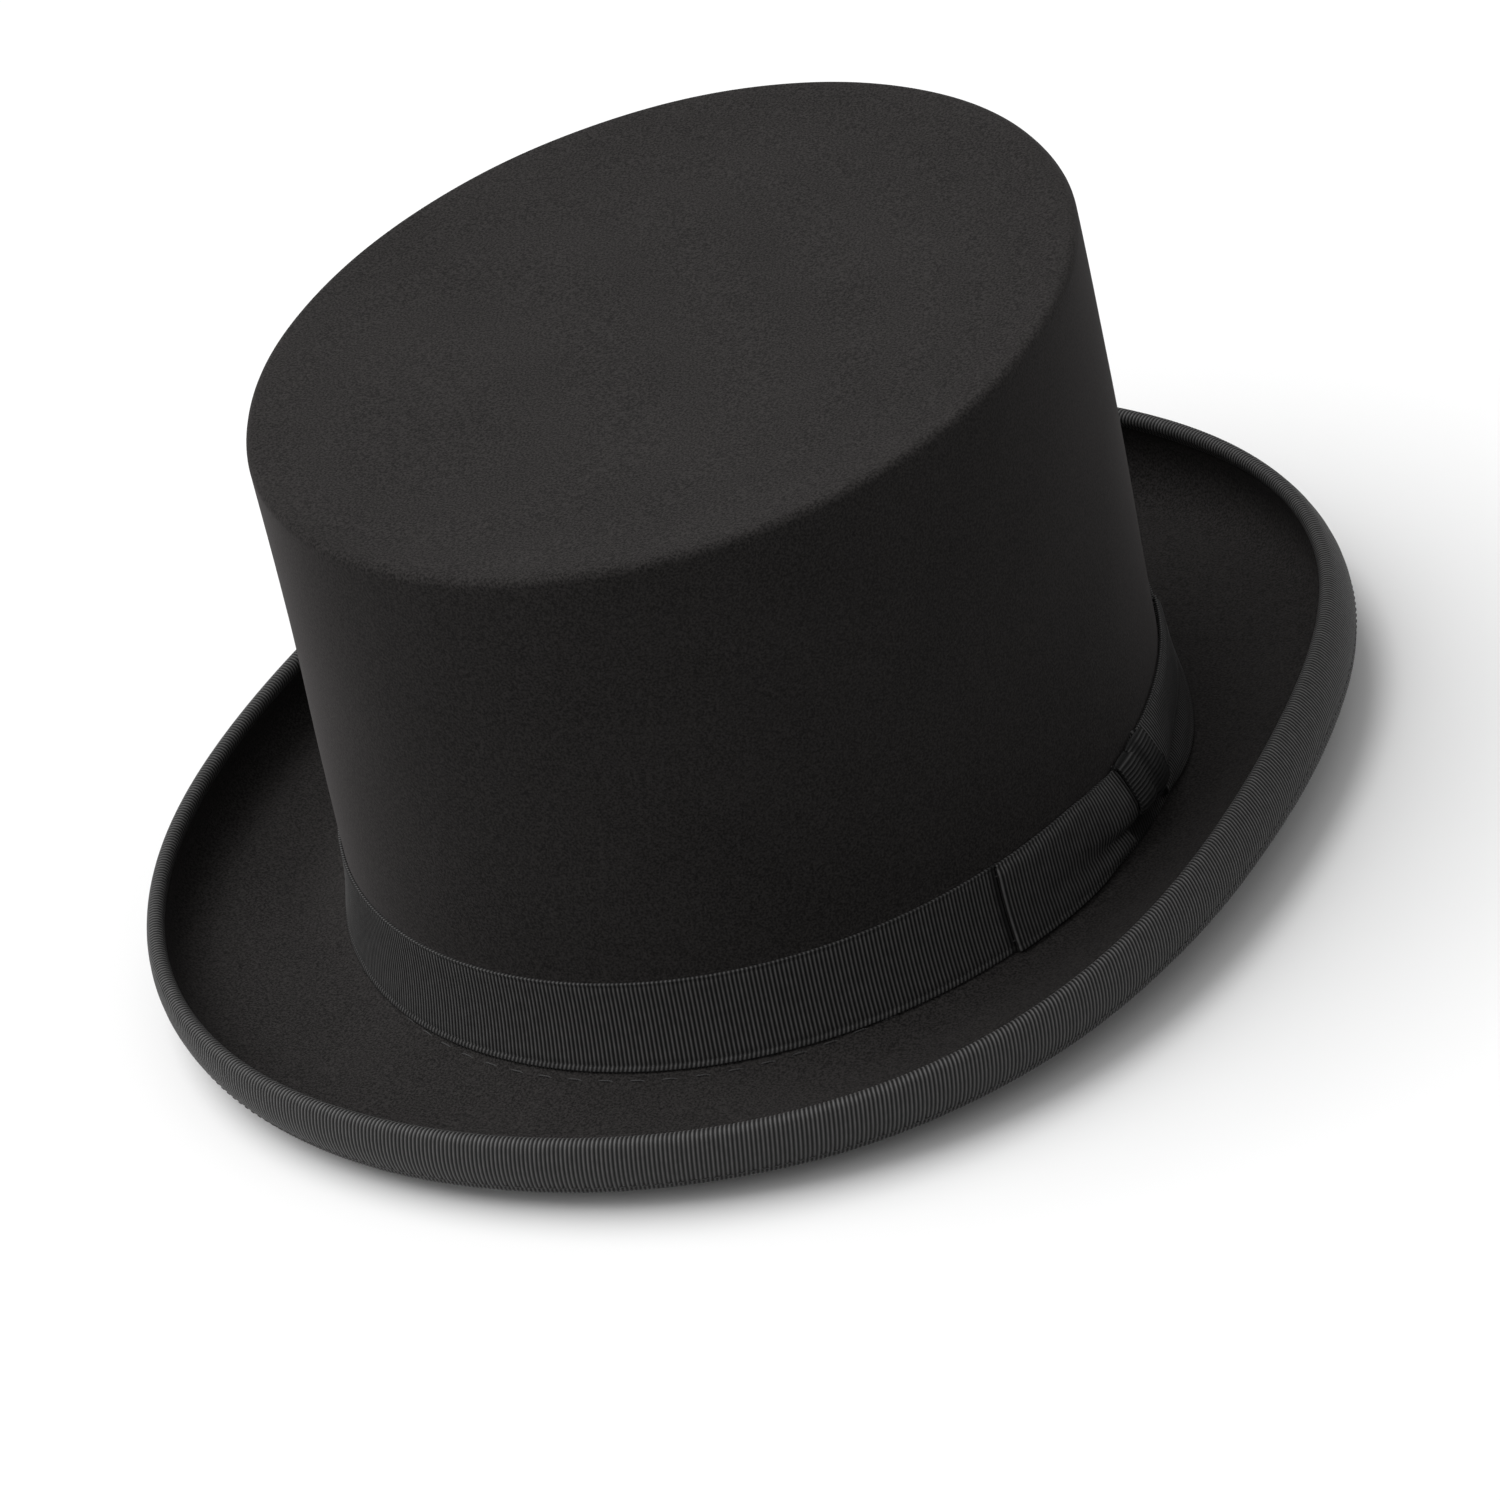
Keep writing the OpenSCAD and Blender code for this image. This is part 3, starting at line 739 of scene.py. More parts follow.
def selvedge(v, phase, deep):
    """Rib height across a ribbon's width: full in the middle, a notch beside each selvedge, and a
    cord at the selvedge whose bumps lie half a rib further on."""
    notch = 1 - 0.9 * bell(v, 0.062, 0.013) - 0.7 * bell(v, 0.955, 0.01)
    cord = np.clip(1 - np.minimum(v / 0.055, (1 - v) / 0.04), 0, 1) ** 0.5
    return deep * (rib(phase) * notch * (1 - cord) + cord * (0.35 + 0.8 * rib(phase + 0.5)))


class TOPHAT_OT_hat_band(HatOperator, Operator):
    """Build the ribbed band round the foot of the crown"""
    bl_idname = "tophat.hat_band"
    bl_label = "Hat band"

    def execute(self, context):
        """The line on_band carried round the head oval, its ends lapped under the bow. The ribs stand
        selvedge(v, phase) out, and the lower selvedge lags behind them by up to half a rib."""
        hat, sizes, colours = self.start(context)
        lap, thick, pitch = 8.0, hat.ribbon_t, hat.rib_pitch
        total = hat.oval_l + lap
        phase = rib_phases(total, pitch, 4)[:, None]
        s = phase / phase[-1] * total - lap / 2
        v = edge_rows()[None]
        skew = 0.5 * pitch * np.clip(1 - v / 0.07, 0, 1)
        near = np.where(s > hat.oval_l / 2, s - hat.oval_l, s)
        lift = (thick + hat.gap) * ramp(s, hat.oval_l - lap, hat.oval_l - lap / 2 - 1)
        r, z = hat.on_band(v, lift + thick + selvedge(v, phase, 0.26), near)
        z = z + np.where(v < 0.01, -0.10, 0) * rib(phase + 0.5) + np.where(v > 0.995, 0.09, 0) * rib(phase)
        back = np.array([1, 0.6, 0.3, 0.1, 0])[None]
        r_in, z_in = hat.on_band(back, lift, near)
        under_bow = 1.2 * ramp(near, -hat.front_wing_l + 0.5, -hat.front_wing_l + 2.5)
        under_bow *= 1 - ramp(near, hat.back_wing_l - 2.5, hat.back_wing_l - 0.5)
        front = hat.place(hat.angle_at(s - skew), r, z - under_bow * v)
        behind = hat.place(hat.angle_at(s), r_in, z_in - under_bow * back)
        across = np.concatenate([v[0], back[0], [0]]) * hat.band_h / 1000
        piece = new_piece("hat_band_ribbon", *tube(np.concatenate([front, behind], 1),
                                                   phase[:, 0] * pitch / 1000, across, False))
        # Painted shade on the band: under the knot, and a narrow painted shadow beside the end of the front
        # wing.
        wing_end = hat.angle_at(-hat.front_wing_l - 0.6)
        shade_beside_wing_end = [(hat.place(wing_end, *hat.on_band(v, 0.5)), 1.3, 0.75) for v in np.linspace(0, 1, 16)]
        shade_folds(piece, [(hat.place(hat.angle_at(-3.0), 1.5, 9.0), 8.0, 0.8), *shade_beside_wing_end])
        finished(piece, ribbon_finish(colours, sizes), "hat_band")
        return {"FINISHED"}


class TOPHAT_OT_bow(HatOperator, Operator):
    """Build the side bow, its knot and the tacks that hold it"""
    bl_idname = "tophat.bow"
    bl_label = "Side bow"

    def execute(self, context):
        """The wings, the knot over their middle, and the tacks at their ends."""
        hat, sizes, colours = self.start(context)
        self.wings(hat, sizes, colours)
        self.knot(hat, sizes, colours)
        self.tacks(hat, colours)
        return {"FINISHED"}

    def wings(self, hat, sizes, colours):
        """One closed loop of ribbon lying flat: front layer, a fold at each end, back layer. Towards
        the knot the front layer is gathered: its upper part rises into a lobe, and its lower edge
        stands out as a lip below a hollow."""
        fold = 0.6
        turn_at = np.linspace(math.pi / 2, -math.pi / 2, 14)
        front, back = hat.front_wing_l, hat.back_wing_l
        line = np.concatenate([
            np.stack([np.linspace(-front + fold, back - fold, 400), np.ones(400)], 1),
            np.stack([back - fold + fold * np.cos(turn_at), 0.5 + 0.5 * np.sin(turn_at)], 1),
            np.stack([np.linspace(back - fold, -front + fold, 400), np.zeros(400)], 1),
            np.stack([-front + fold - fold * np.cos(turn_at), 0.5 - 0.5 * np.sin(turn_at)], 1)])
        line[:, 1] *= 2 * fold
        steps = 20000
        loop = even(np.concatenate([line, line[:1]]), steps + 1)
        length_mm = np.sum(np.linalg.norm(np.diff(loop, axis=0), axis=1))
        phase = rib_phases(length_mm, hat.rib_pitch, 4)
        s, face = (np.interp(phase[:-1] / phase[-1], np.linspace(0, 1, steps + 1), line)[:, None]
                   for line in loop.T)
        face /= 2 * fold
        v = edge_rows()[None]
        far = np.abs(s)
        u = np.clip(far / np.where(s < 0, front, back), 0, 1)
        puff = np.where(s < 0, 0.25, 0.55) * np.sin(math.pi * u) * np.sin(math.pi * v)
        furrow = np.where(s < 0, 0.45, 1.0) * bell(v, 0.36, 0.08) * (1 - ramp(u, 0.4, 1.0))
        lip = np.where(s < 0, 0.2, 0.9) * np.clip(1 - v / 0.3, 0, 1) * (1 - ramp(u, 0.5, 1.0))
        tight = 0.75 * face * ramp(v, 0.88, 1.0)
        flat_r, flat_z = hat.on_band(v, 0.75 + face * (0.75 + puff - furrow + lip) - tight, s)
        shape = np.array([(0.00, 3.9, 7.6), (0.10, 4.5, 8.3), (0.20, 3.9, 9.8), (0.29, 2.8, 10.9),
                          (0.36, 2.9, 11.7), (0.42, 4.2, 12.5), (0.48, 5.1, 13.6), (0.56, 5.1, 15.6),
                          (0.70, 4.1, 18.6), (0.86, 2.4, 21.9), (1.00, 0.8, 24.4)])
        fine = through(shape, 400)
        pinch_r = np.interp(v, fine[:, 0], fine[:, 1])
        pinch_z = np.interp(v, fine[:, 0], fine[:, 2]) + 1.4 * v * ramp(s, 0, 8)
        start = np.where(s < 0, 7.0, 8.0)
        gather = face * bell(np.maximum(far, start), start, np.where(s < 0, 13, 12))
        tuck = 3.0 * gather * (1 - ramp(v, 0.26, 0.34)) * (1 - ramp(far, 8.4, 9.8))
        under = 1.3 * gather * (1 - ramp(far, 5.5, 7.2))
        r = flat_r + gather * (pinch_r - flat_r) - tuck - under
        z = flat_z + gather * (pinch_z - flat_z)
        wave = np.where(v < 0.01, -0.10, np.where(v > 0.995, 0.08, 0))
        lower = 1.3 * (1 - face) * v
        centre = hat.place(hat.angle_at(s), r, z - lower + wave * rib(phase[:-1, None]))
        points = ribbon(centre, hat.ribbon_t, 0.5 * selvedge(v, phase[:-1, None], 0.3), True,
                        phase * hat.rib_pitch / 1000, v[0] * hat.band_h / 1000)
        piece = new_piece("bow_wings", *points)
        # Painted shade on the wings under the knot.
        shade_folds(piece, [(hat.place(hat.angle_at(-1.0), 2.0, 11.0), 9.0, 0.8)])
        finished(piece, ribbon_finish(colours, sizes), "bow_ribbon")

    def knot(self, hat, sizes, colours):
        """The short ribbon wound twice over the gathered middle, its second turn beside and over the
        first. Its ribs lie along the band, and both turns end in the shade under the bow."""
        over = [(0.75, 22.6), (0.85, 23.8), (1.5, 24.75), (2.6, 24.2), (3.9, 21.6), (5.2, 18.6), (6.1, 16.0),
                (6.0, 14.3), (4.7, 13.2), (2.9, 12.9), (1.9, 12.5)]
        beside = [(0.75, 23.8), (0.95, 25.3), (1.7, 26.0), (2.9, 24.8), (4.4, 22.0), (5.8, 19.0), (6.6, 16.4),
                  (6.8, 14.4), (5.9, 12.8), (4.2, 12.0), (2.4, 11.6)]
        parts, steps = [], 2000
        for profile, low, high, lift in ((beside, -1.4, 7.6, 0.0), (over, -7.2, 0.3, 0.5)):
            path = through(profile, steps + 1)
            length_mm = np.sum(np.linalg.norm(np.diff(path, axis=0), axis=1))
            phase = rib_phases(length_mm, hat.rib_pitch, 6)[:, None]
            r, z = (np.interp(phase / phase[-1], np.linspace(0, 1, steps + 1), line) for line in path.T)
            v = edge_rows()[None]
            width = high - low
            s = (low + high) / 2 + (v - 0.5) * width
            bend = 0.5 * (2 * v - 1) ** 2
            slope = unit(np.gradient(np.concatenate([r, z], 1), axis=0))
            rr = r - slope[:, 1:] * (lift - bend)
            zz = z + slope[:, :1] * (lift - bend)
            centre = hat.place(hat.angle_at(s + 0 * rr), rr, zz)
            parts.append(ribbon(centre, hat.ribbon_t, 0.5 * selvedge(v, phase, 0.34) + 0 * s, False,
                                phase[:, 0] * hat.rib_pitch / 1000, v[0] * width / 1000))
        piece = new_piece("bow_knot_ribbon", *join(parts))
        # Painted shade on the knot: on the lower part of the second turn, under its left side, and in a line
        # between the two turns.
        shade_between_turns = [(hat.place(hat.angle_at(1.2), r, z), 1.3, 0.85) for r, z in through(beside, 24)[4:17]]
        shade_folds(piece, [(hat.place(hat.angle_at(5.5), 5.5, 15.0), 7.0, 0.85),
                            (hat.place(hat.angle_at(-3.5), 5.5, 12.0), 4.0, 0.7), *shade_between_turns])
        # The knot's grosgrain is drawn at half the colour, with narrower lit rib crests.
        finished(piece, ribbon_finish(colours, sizes, "tight grosgrain", 0.5, 8.0), "bow_knot")

    def tacks(self, hat, colours):
        """Two short stitches at each end of the bow."""
        past_end = 0.1
        t = hat.angle_at(np.repeat([-hat.front_wing_l - past_end, hat.back_wing_l + past_end], 2))
        mid = hat.place(t, *hat.on_band(np.tile([0.12, 0.88], 2), hat.ribbon_t + 0.45))
        out, along = hat.level(t)
        piece = new_piece("bow_tack_stitches", *stitches(mid, along, out, 1.6, 0.14))
        finished(piece, thread_finish(colours), "bow_tacks")


class TOPHAT_OT_brim_binding(HatOperator, Operator):
    """Build the ribbed binding over the rolled edge and its row of stitches"""
    bl_idname = "tophat.brim_binding"
    bl_label = "Brim binding"

    def execute(self, context):
        """Down the outside of the roll, over the felt's end and down the inside, round the hat from
        back to back. Each selvedge wavers as a sum of two sines of the angle."""
        hat, sizes, colours = self.start(context)
        fine = np.linspace(math.radians(90.15), math.radians(449.85), 4001)
        crest = hat.place(fine, *hat.cap(fine, 0, 0.5))
        run = np.concatenate([[0], np.cumsum(np.linalg.norm(np.diff(crest, axis=0), axis=1))])
        total = run[-1]
        phase = rib_phases(total, hat.rib_pitch, 3)[:, None]
        s = np.linspace(0, total, len(phase))
        half, thick = hat.felt_t / 2 + hat.gap, hat.ribbon_t
        out_d = hat.binding_out * np.array([1, 0.985, 0.96, 0.93, 0.90, 0.8, 0.65, 0.5, 0.35, 0.2, 0.08])[None]
        in_d = hat.binding_in * np.array([0.08, 0.25, 0.5, 0.75, 0.9, 0.96, 1])[None]
        cap_v = np.linspace(0, 1, 7)[None]
        arc = math.pi * (half + thick)
        w = np.concatenate([hat.binding_out - out_d, hat.binding_out + arc * cap_v,
                            hat.binding_out + arc + in_d], 1)
        width = w[0, -1]
        skew = 0.10 * (w - hat.binding_out)
        t = np.interp(s[:, None] + skew, run, fine)
        edge = 0.22 * np.sin(7 * t + 1) + 0.15 * np.sin(17 * t)
        v = w / width
        height = selvedge(v, phase, 0.26) + thick

        def waved(depth, reach, wave):
            """The depth down the roll, moved by the wave in proportion to its square."""
            return depth + wave * (depth / reach) ** 2

        outer, over = out_d.shape[1], out_d.shape[1] + cap_v.shape[1]
        rows = [hat.curl(t[:, :outer], half + height[:, :outer],
                         waved(out_d, hat.binding_out, edge[:, :outer])),
                hat.cap(t[:, outer:over], hat.gap + height[:, outer:over], cap_v),
                hat.curl(t[:, over:], -half - height[:, over:],
                         waved(in_d, hat.binding_in, 2 * edge[:, over:]))]
        face = hat.rows(t, rows)
        t0 = np.interp(s[:, None], run, fine)
        hide_in = hat.binding_in * np.array([[1, 0.5, 0.0]])
        hide_out = hat.binding_out * np.array([[0.0, 0.5, 1]])
        hidden = [hat.curl(t0, -half, waved(hide_in, hat.binding_in, 2 * edge[:, -1:])),
                  hat.cap(t0, hat.gap, np.array([[0.7, 0.3]])),
                  hat.curl(t0, half, waved(hide_out, hat.binding_out, edge[:, :1]))]
        lining = hat.rows(t0, hidden)
        across = np.concatenate([w[0], width * np.array([1, 0.86, 0.7, 0.66, 0.56, 0.5, 0.25, 0, 0])]) / 1000
        piece = new_piece("brim_binding_ribbon",
                          *tube(np.concatenate([face, lining], 1), phase[:, 0] * hat.rib_pitch / 1000,
                                across, False))
        finished(piece, ribbon_finish(colours, sizes), "brim_binding")
        self.stitch_row(hat, colours, run, fine)
        return {"FINISHED"}

    def stitch_row(self, hat, colours, run, fine):
        """Stitches near the outer selvedge, evenly spaced along the crest, whose length up to the
        angles fine is run."""
        stitch_pitch, stitch_run, thread_r, from_selvedge, step = 2.5, 1.9, 0.17, 2.3, 0.002
        count = int(round(run[-1] / stitch_pitch))
        at = np.interp((np.arange(count) + 0.5) / count * run[-1], run, fine)
        half = hat.felt_t / 2 + hat.gap

        def on_roll(t, off):
            """The row's line, off outside the middle of the felt."""
            return hat.place(t, *hat.curl(t, off, hat.binding_out - from_selvedge))

        mid = on_roll(at, half + hat.ribbon_t + 0.18)
        out = unit(mid - on_roll(at, half))
        along = unit(on_roll(at + step, half) - on_roll(at - step, half))
        piece = new_piece("binding_stitches", *stitches(mid, along, out, stitch_run, thread_r))
        finished(piece, thread_finish(colours), "binding_thread")


class TOPHAT_OT_sweatband(HatOperator, Operator):
    """Build the leather sweatband, its stitches, the little bow and the taped reed"""
    bl_idname = "tophat.sweatband"
    bl_label = "Sweatband"

    def execute(self, context):
        """The parts from the felt inwards, and the reed's own material."""
        hat, _, colours = self.start(context)
        reed_r, reed_z = -3.1, 3.6
        low = reed_z + 0.9 + hat.gap + 0.4 + 0.2
        out_r = -hat.felt_t - hat.satin_t - 3 * hat.gap
        self.leather(hat, colours, out_r, low)
        self.brim_stitches(hat, colours)
        self.little_bow(hat, colours, out_r - hat.leather_t - hat.gap, low + 9)
        self.reed_tape(hat, colours, reed_r, reed_z)
        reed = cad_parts["reed"]
        reed.data.materials.clear()
        reed.data.materials.append(reed_finish(colours))
        return {"FINISHED"}

    def leather(self, hat, colours, out_r, low):
        """A strip of leather that stands inside the crown, its upper edge free and a little wavy."""
        steps = 361
        t = np.linspace(math.radians(90.3), math.radians(449.7), steps)[:, None]
        v = np.array([0, 0.008, 0.02, 0.1, 0.25, 0.4, 0.55, 0.7, 0.85, 0.95, 0.985, 1])[None]
        z = low + hat.sweatband_h * v
        wave = 0.18 * v ** 2 * (1 + np.sin(11 * t + 1) * np.sin(4 * t))
        pad = 0.25 * np.minimum(1, np.minimum(v, 1 - v) / 0.01)
        r = out_r + hat.side(z)
        inner = hat.place(t, r - hat.leather_t + 0.25 - pad - wave, z)
        outer = hat.place(t, r - 0.1 * wave, z)[:, ::-1]
        s = np.linspace(0, 0.575, steps)
        across = both_faces(v[0]) * hat.sweatband_h / 1000
        piece = new_piece("sweatband_leather", *tube(np.concatenate([inner, outer], 1), s, across, False))
        finished(piece, leather_finish(colours), "sweatband")

    def brim_stitches(self, hat, colours):
        """The row of long stitches that shows on the brim just outside the band."""
        stitch_pitch, stitch_run, thread_r, lean = 6.6, 3.7, 0.2, 0.25
        count = int(round(hat.oval_l / stitch_pitch))
        t = hat.angle_at((np.arange(count) + 0.5) / count * hat.oval_l)
        r = 2.7 + 2.0 * lobe(t, 276, 30, 4)
        mid = hat.place(t, r, hat.on_brim(r) + 0.12)
        out, along = hat.level(t)
        out = unit(lean * out + [0, 0, 1])
        piece = new_piece("sweatband_stitches", *stitches(mid, along, out, stitch_run, thread_r))
        finished(piece, thread_finish(colours), "sweatband_thread")

    def little_bow(self, hat, colours, r, z):
        """Two flat loops of narrow ribbon over the joint of the leather."""
        parts = []
        for side in (-1, 1):
            u = np.linspace(0, 1, 25)[:, None]
            v = np.linspace(0, 1, 9)[None]
            t = math.radians(90) + side * np.radians(0.2 + 6 * u)
            half = 1.2 + 2.4 * u ** 0.7
            zz = z + (2 * v - 1) * half
            rr = r - 0.5 - 0.9 * np.sin(math.pi * u) * (1 - 0.3 * (2 * v - 1) ** 2)
            parts.append(ribbon(hat.place(t + 0 * v, rr, zz), 0.5, 0 * u * v, False,
                                u[:, 0] * 0.01, v[0] * 0.007))
        piece = new_piece("sweatband_little_bow", *join(parts))
        finished(piece, satin_finish("bow satin", colours.bow_satin, 0.0003), "sweatband_bow")

    def reed_tape(self, hat, colours, r, z):
        """Tape folded under the reed, with one edge free inside and the other standing up behind the
        leather, where it is sewn."""
        phi = np.radians(np.linspace(-225, 0, 10))
        bend = np.stack([r + 1.18 * np.cos(phi), z + 1.18 * np.sin(phi)], 1)
        flap = np.array([[r + 0.75, z + 1.5], [r + 0.33, z + 2.3], [r + 0.3, z + 3.4], [r + 0.3, z + 5.1]])
        path = through(np.concatenate([bend, flap]), 24)
        n = int(round(hat.oval_l / 1.6))
        t = hat.angle_at(np.linspace(0, hat.oval_l, n, endpoint=False))[:, None]
        pucker = 0.04 * np.sin(40 * t) * np.sin(np.linspace(0, math.pi, 24))[None]
        centre = hat.place(t, path[None, :, 0] + pucker, path[None, :, 1])
        s = np.linspace(0, hat.oval_l, n + 1) / 1000
        piece = new_piece("reed_tape", *ribbon(centre, 0.36, 0 * pucker, True, s, np.linspace(0, 0.010, 24)))
        finished(piece, satin_finish("waxed tape", colours.tape, 0.0004), "reed_cover")


class TOPHAT_OT_lining(HatOperator, Operator):
    """Build the satin lining and its piping"""
    bl_idname = "tophat.lining"
    bl_label = "Lining"

    def execute(self, context):
        """The wall, whose gathers are sin(54 t + 1.5 sin(5 t)) and deepen towards the top, and whose
        drape is sin(7 t + 2 v). Then the oval under the tip and the piping between them."""
        hat, _, colours = self.start(context)
        satin = satin_finish("lining satin", colours.satin, 0.00028)
        out_r = -hat.felt_t - hat.gap
        low, top = hat.side_z + 1, hat.tip_z - hat.felt_t - 3.2
        t = np.linspace(0, 2 * math.pi, 540, endpoint=False)[:, None]
        v = np.array([0, 0.006, 0.1, 0.25, 0.4, 0.55, 0.7, 0.8, 0.88, 0.94, 0.975, 1])[None]
        z = low + (top - low) * v
        gathers = 0.35 * ramp(v, 0.45, 1) * (0.5 + 0.5 * np.sin(54 * t + 1.5 * np.sin(5 * t)))
        drape = 0.25 * ramp(v, 0.3, 0.7) * (1 + np.sin(7 * t + 2 * v))
        inner = hat.place(t, out_r + hat.side(z) - hat.satin_t - gathers - drape, z)
        outer = hat.place(t, out_r + hat.side(z) - 0.6 * (gathers + drape), z)[:, ::-1]
        s = np.linspace(0, hat.oval_l, 541) / 1000
        across = both_faces(v[0]) * (top - low) / 1000
        wall = new_piece("lining_wall", *tube(np.concatenate([inner, outer], 1), s, across, True))
        finished(wall, satin, "lining_side")
        self.tip(hat, satin, out_r)
        self.piping(hat, satin, out_r)
        return {"FINISHED"}

    def tip(self, hat, satin, out_r):
        """The oval under the tip: a thin lens that hangs a little in the middle."""
        n = 160
        t = np.linspace(0, 2 * math.pi, n, endpoint=False)[:, None]
        share = np.linspace(0, 1, 12)[1:]
        z = hat.tip_z - hat.felt_t - hat.gap
        r = hat.side(hat.tip_z) + out_r - 3.2
        mid = np.array([0, -hat.crown_lean, z])
        rim = hat.place(t, r, z + 0 * t)
        upper = mid + (rim - mid) * share[None, :, None]
        lower = upper.copy()[:, ::-1]
        lower[..., 2] -= hat.satin_t + 0.9 * (1 - share[None, ::-1] ** 2)
        upper[..., 2] -= 0.5 * (1 - share[None] ** 2)
        rows = np.concatenate([upper, lower], 1)
        m = rows.shape[1]
        quads, _, _ = grid_faces(n, m, True, False)
        points = np.concatenate([rows.reshape(-1, 3), [mid - [0, 0, 0.5]], [mid - [0, 0, hat.satin_t + 0.9]]])
        ring = np.arange(n) * m
        fans = np.concatenate([fan(ring, n * m), fan(ring + m - 1, n * m + 1)[:, [0, 2, 1]]])
        uvs = [points[f][..., :2] / 1000 for f in (quads, fans)]
        piece = new_piece("lining_tip_oval", points, [quads, fans], uvs)
        finished(piece, satin, "lining_tip")

    def piping(self, hat, satin, out_r):
        """A covered cord: a round section with a slight slanted ridge that winds along it."""
        n = int(round(hat.oval_l / 0.8))
        t = hat.angle_at(np.linspace(0, hat.oval_l, n, endpoint=False))[:, None]
        phi = np.linspace(0, 2 * math.pi, 12, endpoint=False)[None]
        turns = round(hat.oval_l / 7)
        rad = 1.05 * (1 + 0.07 * np.sin(2 * phi + turns * t))
        r = hat.side(hat.tip_z) + out_r - hat.satin_t - hat.gap - 1.3
        z = hat.tip_z - hat.felt_t - 2 * hat.gap - hat.satin_t - 1.5
        points = hat.place(t, r + rad * np.cos(phi), z + rad * np.sin(phi))
        s = np.linspace(0, hat.oval_l, n + 1) / 1000
        piece = new_piece("lining_piping_cord", *tube(points, s, np.linspace(0, 6.9, 13) / 1000, True))
        finished(piece, satin, "lining_piping")


# --- Stage -----------------------------------------------------------------------------------

def stand(name, data, axes, at=(0, 0, 0)):
    """An object for a lamp or the camera, with its own x, y and z axes and its place in metres."""
    holder = bpy.data.objects.new(name, data)
    holder.matrix_world = Matrix([*np.column_stack([*axes, at]).tolist(), [0, 0, 0, 1]])
    bpy.context.scene.collection.objects.link(holder)
    return holder


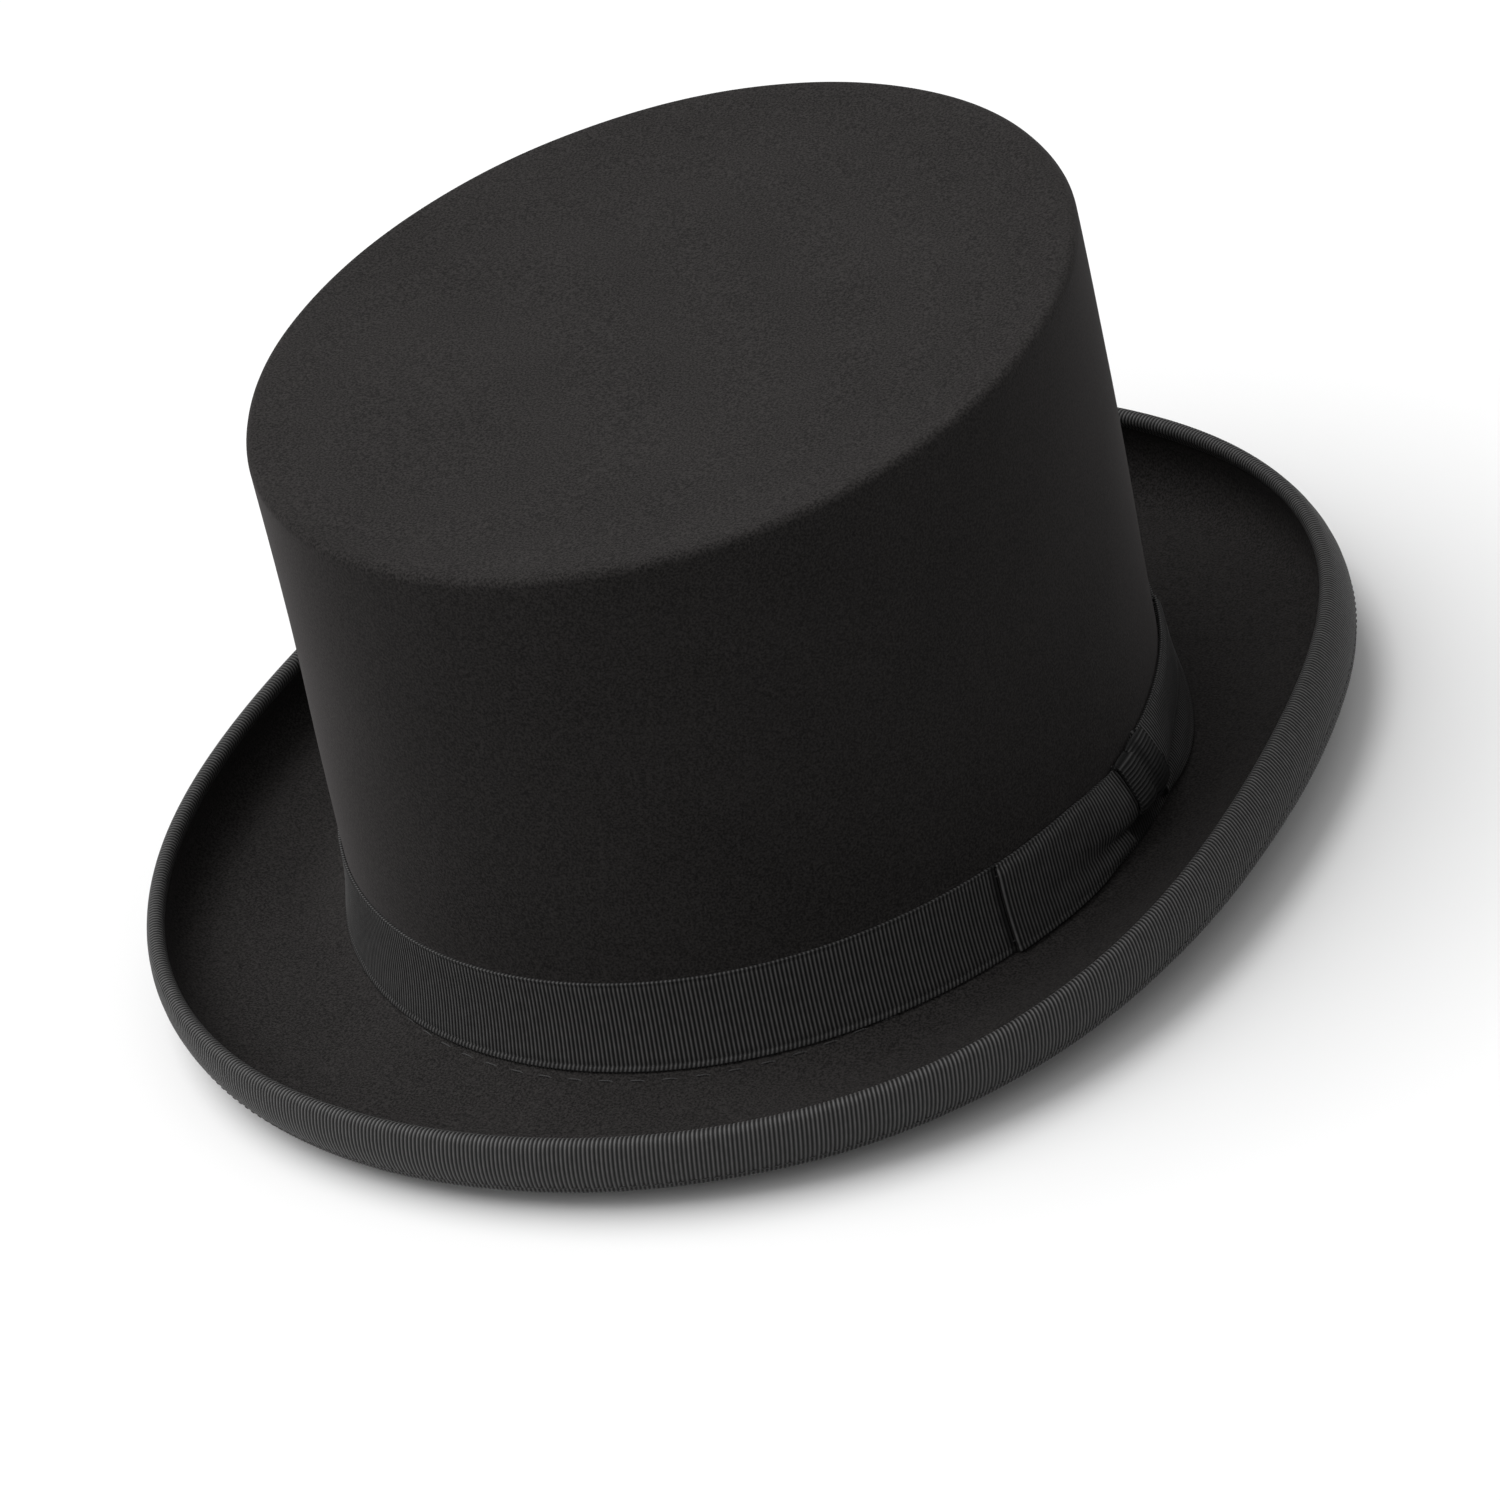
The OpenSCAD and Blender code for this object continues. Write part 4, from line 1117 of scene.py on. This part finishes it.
class TOPHAT_OT_stage(HatOperator, Operator):
    """Set up the floor, the light and the camera"""
    bl_idname = "tophat.stage"
    bl_label = "Stage"

    def execute(self, context):
        """The floor, the light and the camera, with plain colours in the view."""
        self.floor(context.scene.hat_colours)
        self.light(context)
        self.camera(context)
        context.scene.view_settings.view_transform = "Standard"
        return {"FINISHED"}

    def floor(self, colours):
        """A wide plain floor. The camera sees it pale, and it throws less light back at the hat."""
        x, y = np.meshgrid(np.linspace(-4000, 4000, 9), np.linspace(-4000, 4000, 9), indexing="ij")
        points = np.stack([x, y, np.full_like(x, -0.05)], -1).reshape(-1, 3)
        quads, _, _ = grid_faces(9, 9, False, False)
        mesh = bpy.data.meshes.new("floor")
        mesh.from_pydata((points / 1000).tolist(), [], quads.tolist())
        piece = bpy.data.objects.new("floor", mesh)
        bpy.context.scene.collection.objects.link(piece)
        material = bpy.data.materials.new("floor paint")
        material.use_nodes = True
        tree = material.node_tree
        dim = (0.16, 0.16, 0.16, 1)
        seen = add(tree, "ShaderNodeLightPath").outputs
        share = maths(tree, "ADD", seen["Is Camera Ray"],
                      maths(tree, "ADD", seen["Is Glossy Ray"], seen["Is Transmission Ray"]), clamp=True)
        feed(tree.nodes["Principled BSDF"], {"Roughness": 0.9, "Specular IOR Level": 0.0,
                                             "Base Color": blend(tree, share, dim, rgba(colours.floor))})
        mesh.materials.append(material)

    def light(self, context):
        """A dim even sky, a broad lamp high on the wearer's right, and a weak one in front. Each lamp
        is a name, its direction and height in degrees, its strength and how wide it looks."""
        world = bpy.data.worlds.new("studio")
        context.scene.world = world
        world.use_nodes = True
        tree = world.node_tree
        tree.nodes.clear()
        seen = add(tree, "ShaderNodeLightPath").outputs
        share = maths(tree, "ADD", seen["Is Camera Ray"], seen["Is Transmission Ray"], clamp=True)
        sky, white = (add(tree, "ShaderNodeBackground", {"Color": (1, 1, 1, 1), "Strength": strength})
                      for strength in (0.43, 1.0))
        mixed = add(tree, "ShaderNodeMixShader", {0: share, 1: sky.outputs[0], 2: white.outputs[0]})
        add(tree, "ShaderNodeOutputWorld", {"Surface": mixed.outputs[0]})
        for name, azimuth, height, power, soft in (("key", 198, 61, 2.2, 60), ("fill", -95, 45, 0.55, 60)):
            lamp = bpy.data.lights.new(name, "SUN")
            lamp.energy = power
            lamp.angle = math.radians(soft)
            a, h = math.radians(azimuth), math.radians(height)
            back = np.array([math.cos(a) * math.cos(h), math.sin(a) * math.cos(h), math.sin(h)])
            side = unit(np.cross([0, 0, 1], back))
            stand(name, lamp, (side, np.cross(back, side), back))

    def camera(self, context):
        """A long lens two metres away, above the hat's front left corner, rolled a little. Lengths
        are in millimetres, and the focal length is in pixels of the picture."""
        azimuth, height, roll = (math.radians(v) for v in (30, 30.74, -11.8))
        away, right_by, up_by, middle = 2000.0, 3.75, -31.25, 54.4
        focal, picture, sensor = 9241.1, 1500, 36
        back = np.array([math.sin(azimuth) * math.cos(height), -math.cos(azimuth) * math.cos(height),
                         math.sin(height)])
        right = np.array([math.cos(azimuth), math.sin(azimuth), 0])
        up = np.cross(back, right)
        side = math.cos(roll) * right + math.sin(roll) * up
        top = -math.sin(roll) * right + math.cos(roll) * up
        at = (np.array([0, 0, middle]) + away * back + right_by * side + up_by * top) / 1000
        camera = bpy.data.cameras.new("camera")
        camera.sensor_width = sensor
        camera.lens = sensor * focal / picture
        camera.clip_start = 0.05
        camera.clip_end = 50
        context.scene.camera = stand("camera", camera, (side, top, back), at)


class TOPHAT_PT_panel(Panel):
    """The hat's sizes, colours and operators in the sidebar"""
    bl_idname = "TOPHAT_PT_panel"
    bl_label = "Top Hat"
    bl_space_type = "VIEW_3D"
    bl_region_type = "UI"
    bl_category = "Top Hat"

    def draw(self, context):
        """Lists the operators, then the sizes and the colours."""
        column = self.layout.column(align=True)
        for operator in OPERATORS:
            column.operator(operator.bl_idname)
        for group_name, kind in (("hat_sizes", HatSizes), ("hat_colours", HatColours)):
            box = self.layout.box()
            for key in kind.__annotations__:
                box.prop(getattr(context.scene, group_name), key)


OPERATORS = (TOPHAT_OT_felt_body, TOPHAT_OT_hat_band, TOPHAT_OT_bow, TOPHAT_OT_brim_binding,
             TOPHAT_OT_sweatband, TOPHAT_OT_lining, TOPHAT_OT_stage)
CLASSES = (HatSizes, HatColours, *OPERATORS, TOPHAT_PT_panel)


def register():
    """Registers the classes and hangs the sizes and the colours on the scene."""
    for cls in CLASSES:
        bpy.utils.register_class(cls)
    bpy.types.Scene.hat_sizes = PointerProperty(type=HatSizes)
    bpy.types.Scene.hat_colours = PointerProperty(type=HatColours)


def unregister():
    """Undoes register."""
    del bpy.types.Scene.hat_colours
    del bpy.types.Scene.hat_sizes
    for cls in reversed(CLASSES):
        bpy.utils.unregister_class(cls)


def main():
    """Builds every piece and the stage."""
    register()
    bpy.ops.tophat.felt_body()
    bpy.ops.tophat.hat_band()
    bpy.ops.tophat.bow()
    bpy.ops.tophat.brim_binding()
    bpy.ops.tophat.sweatband()
    bpy.ops.tophat.lining()
    bpy.ops.tophat.stage()


if __name__ == "__main__":
    main()
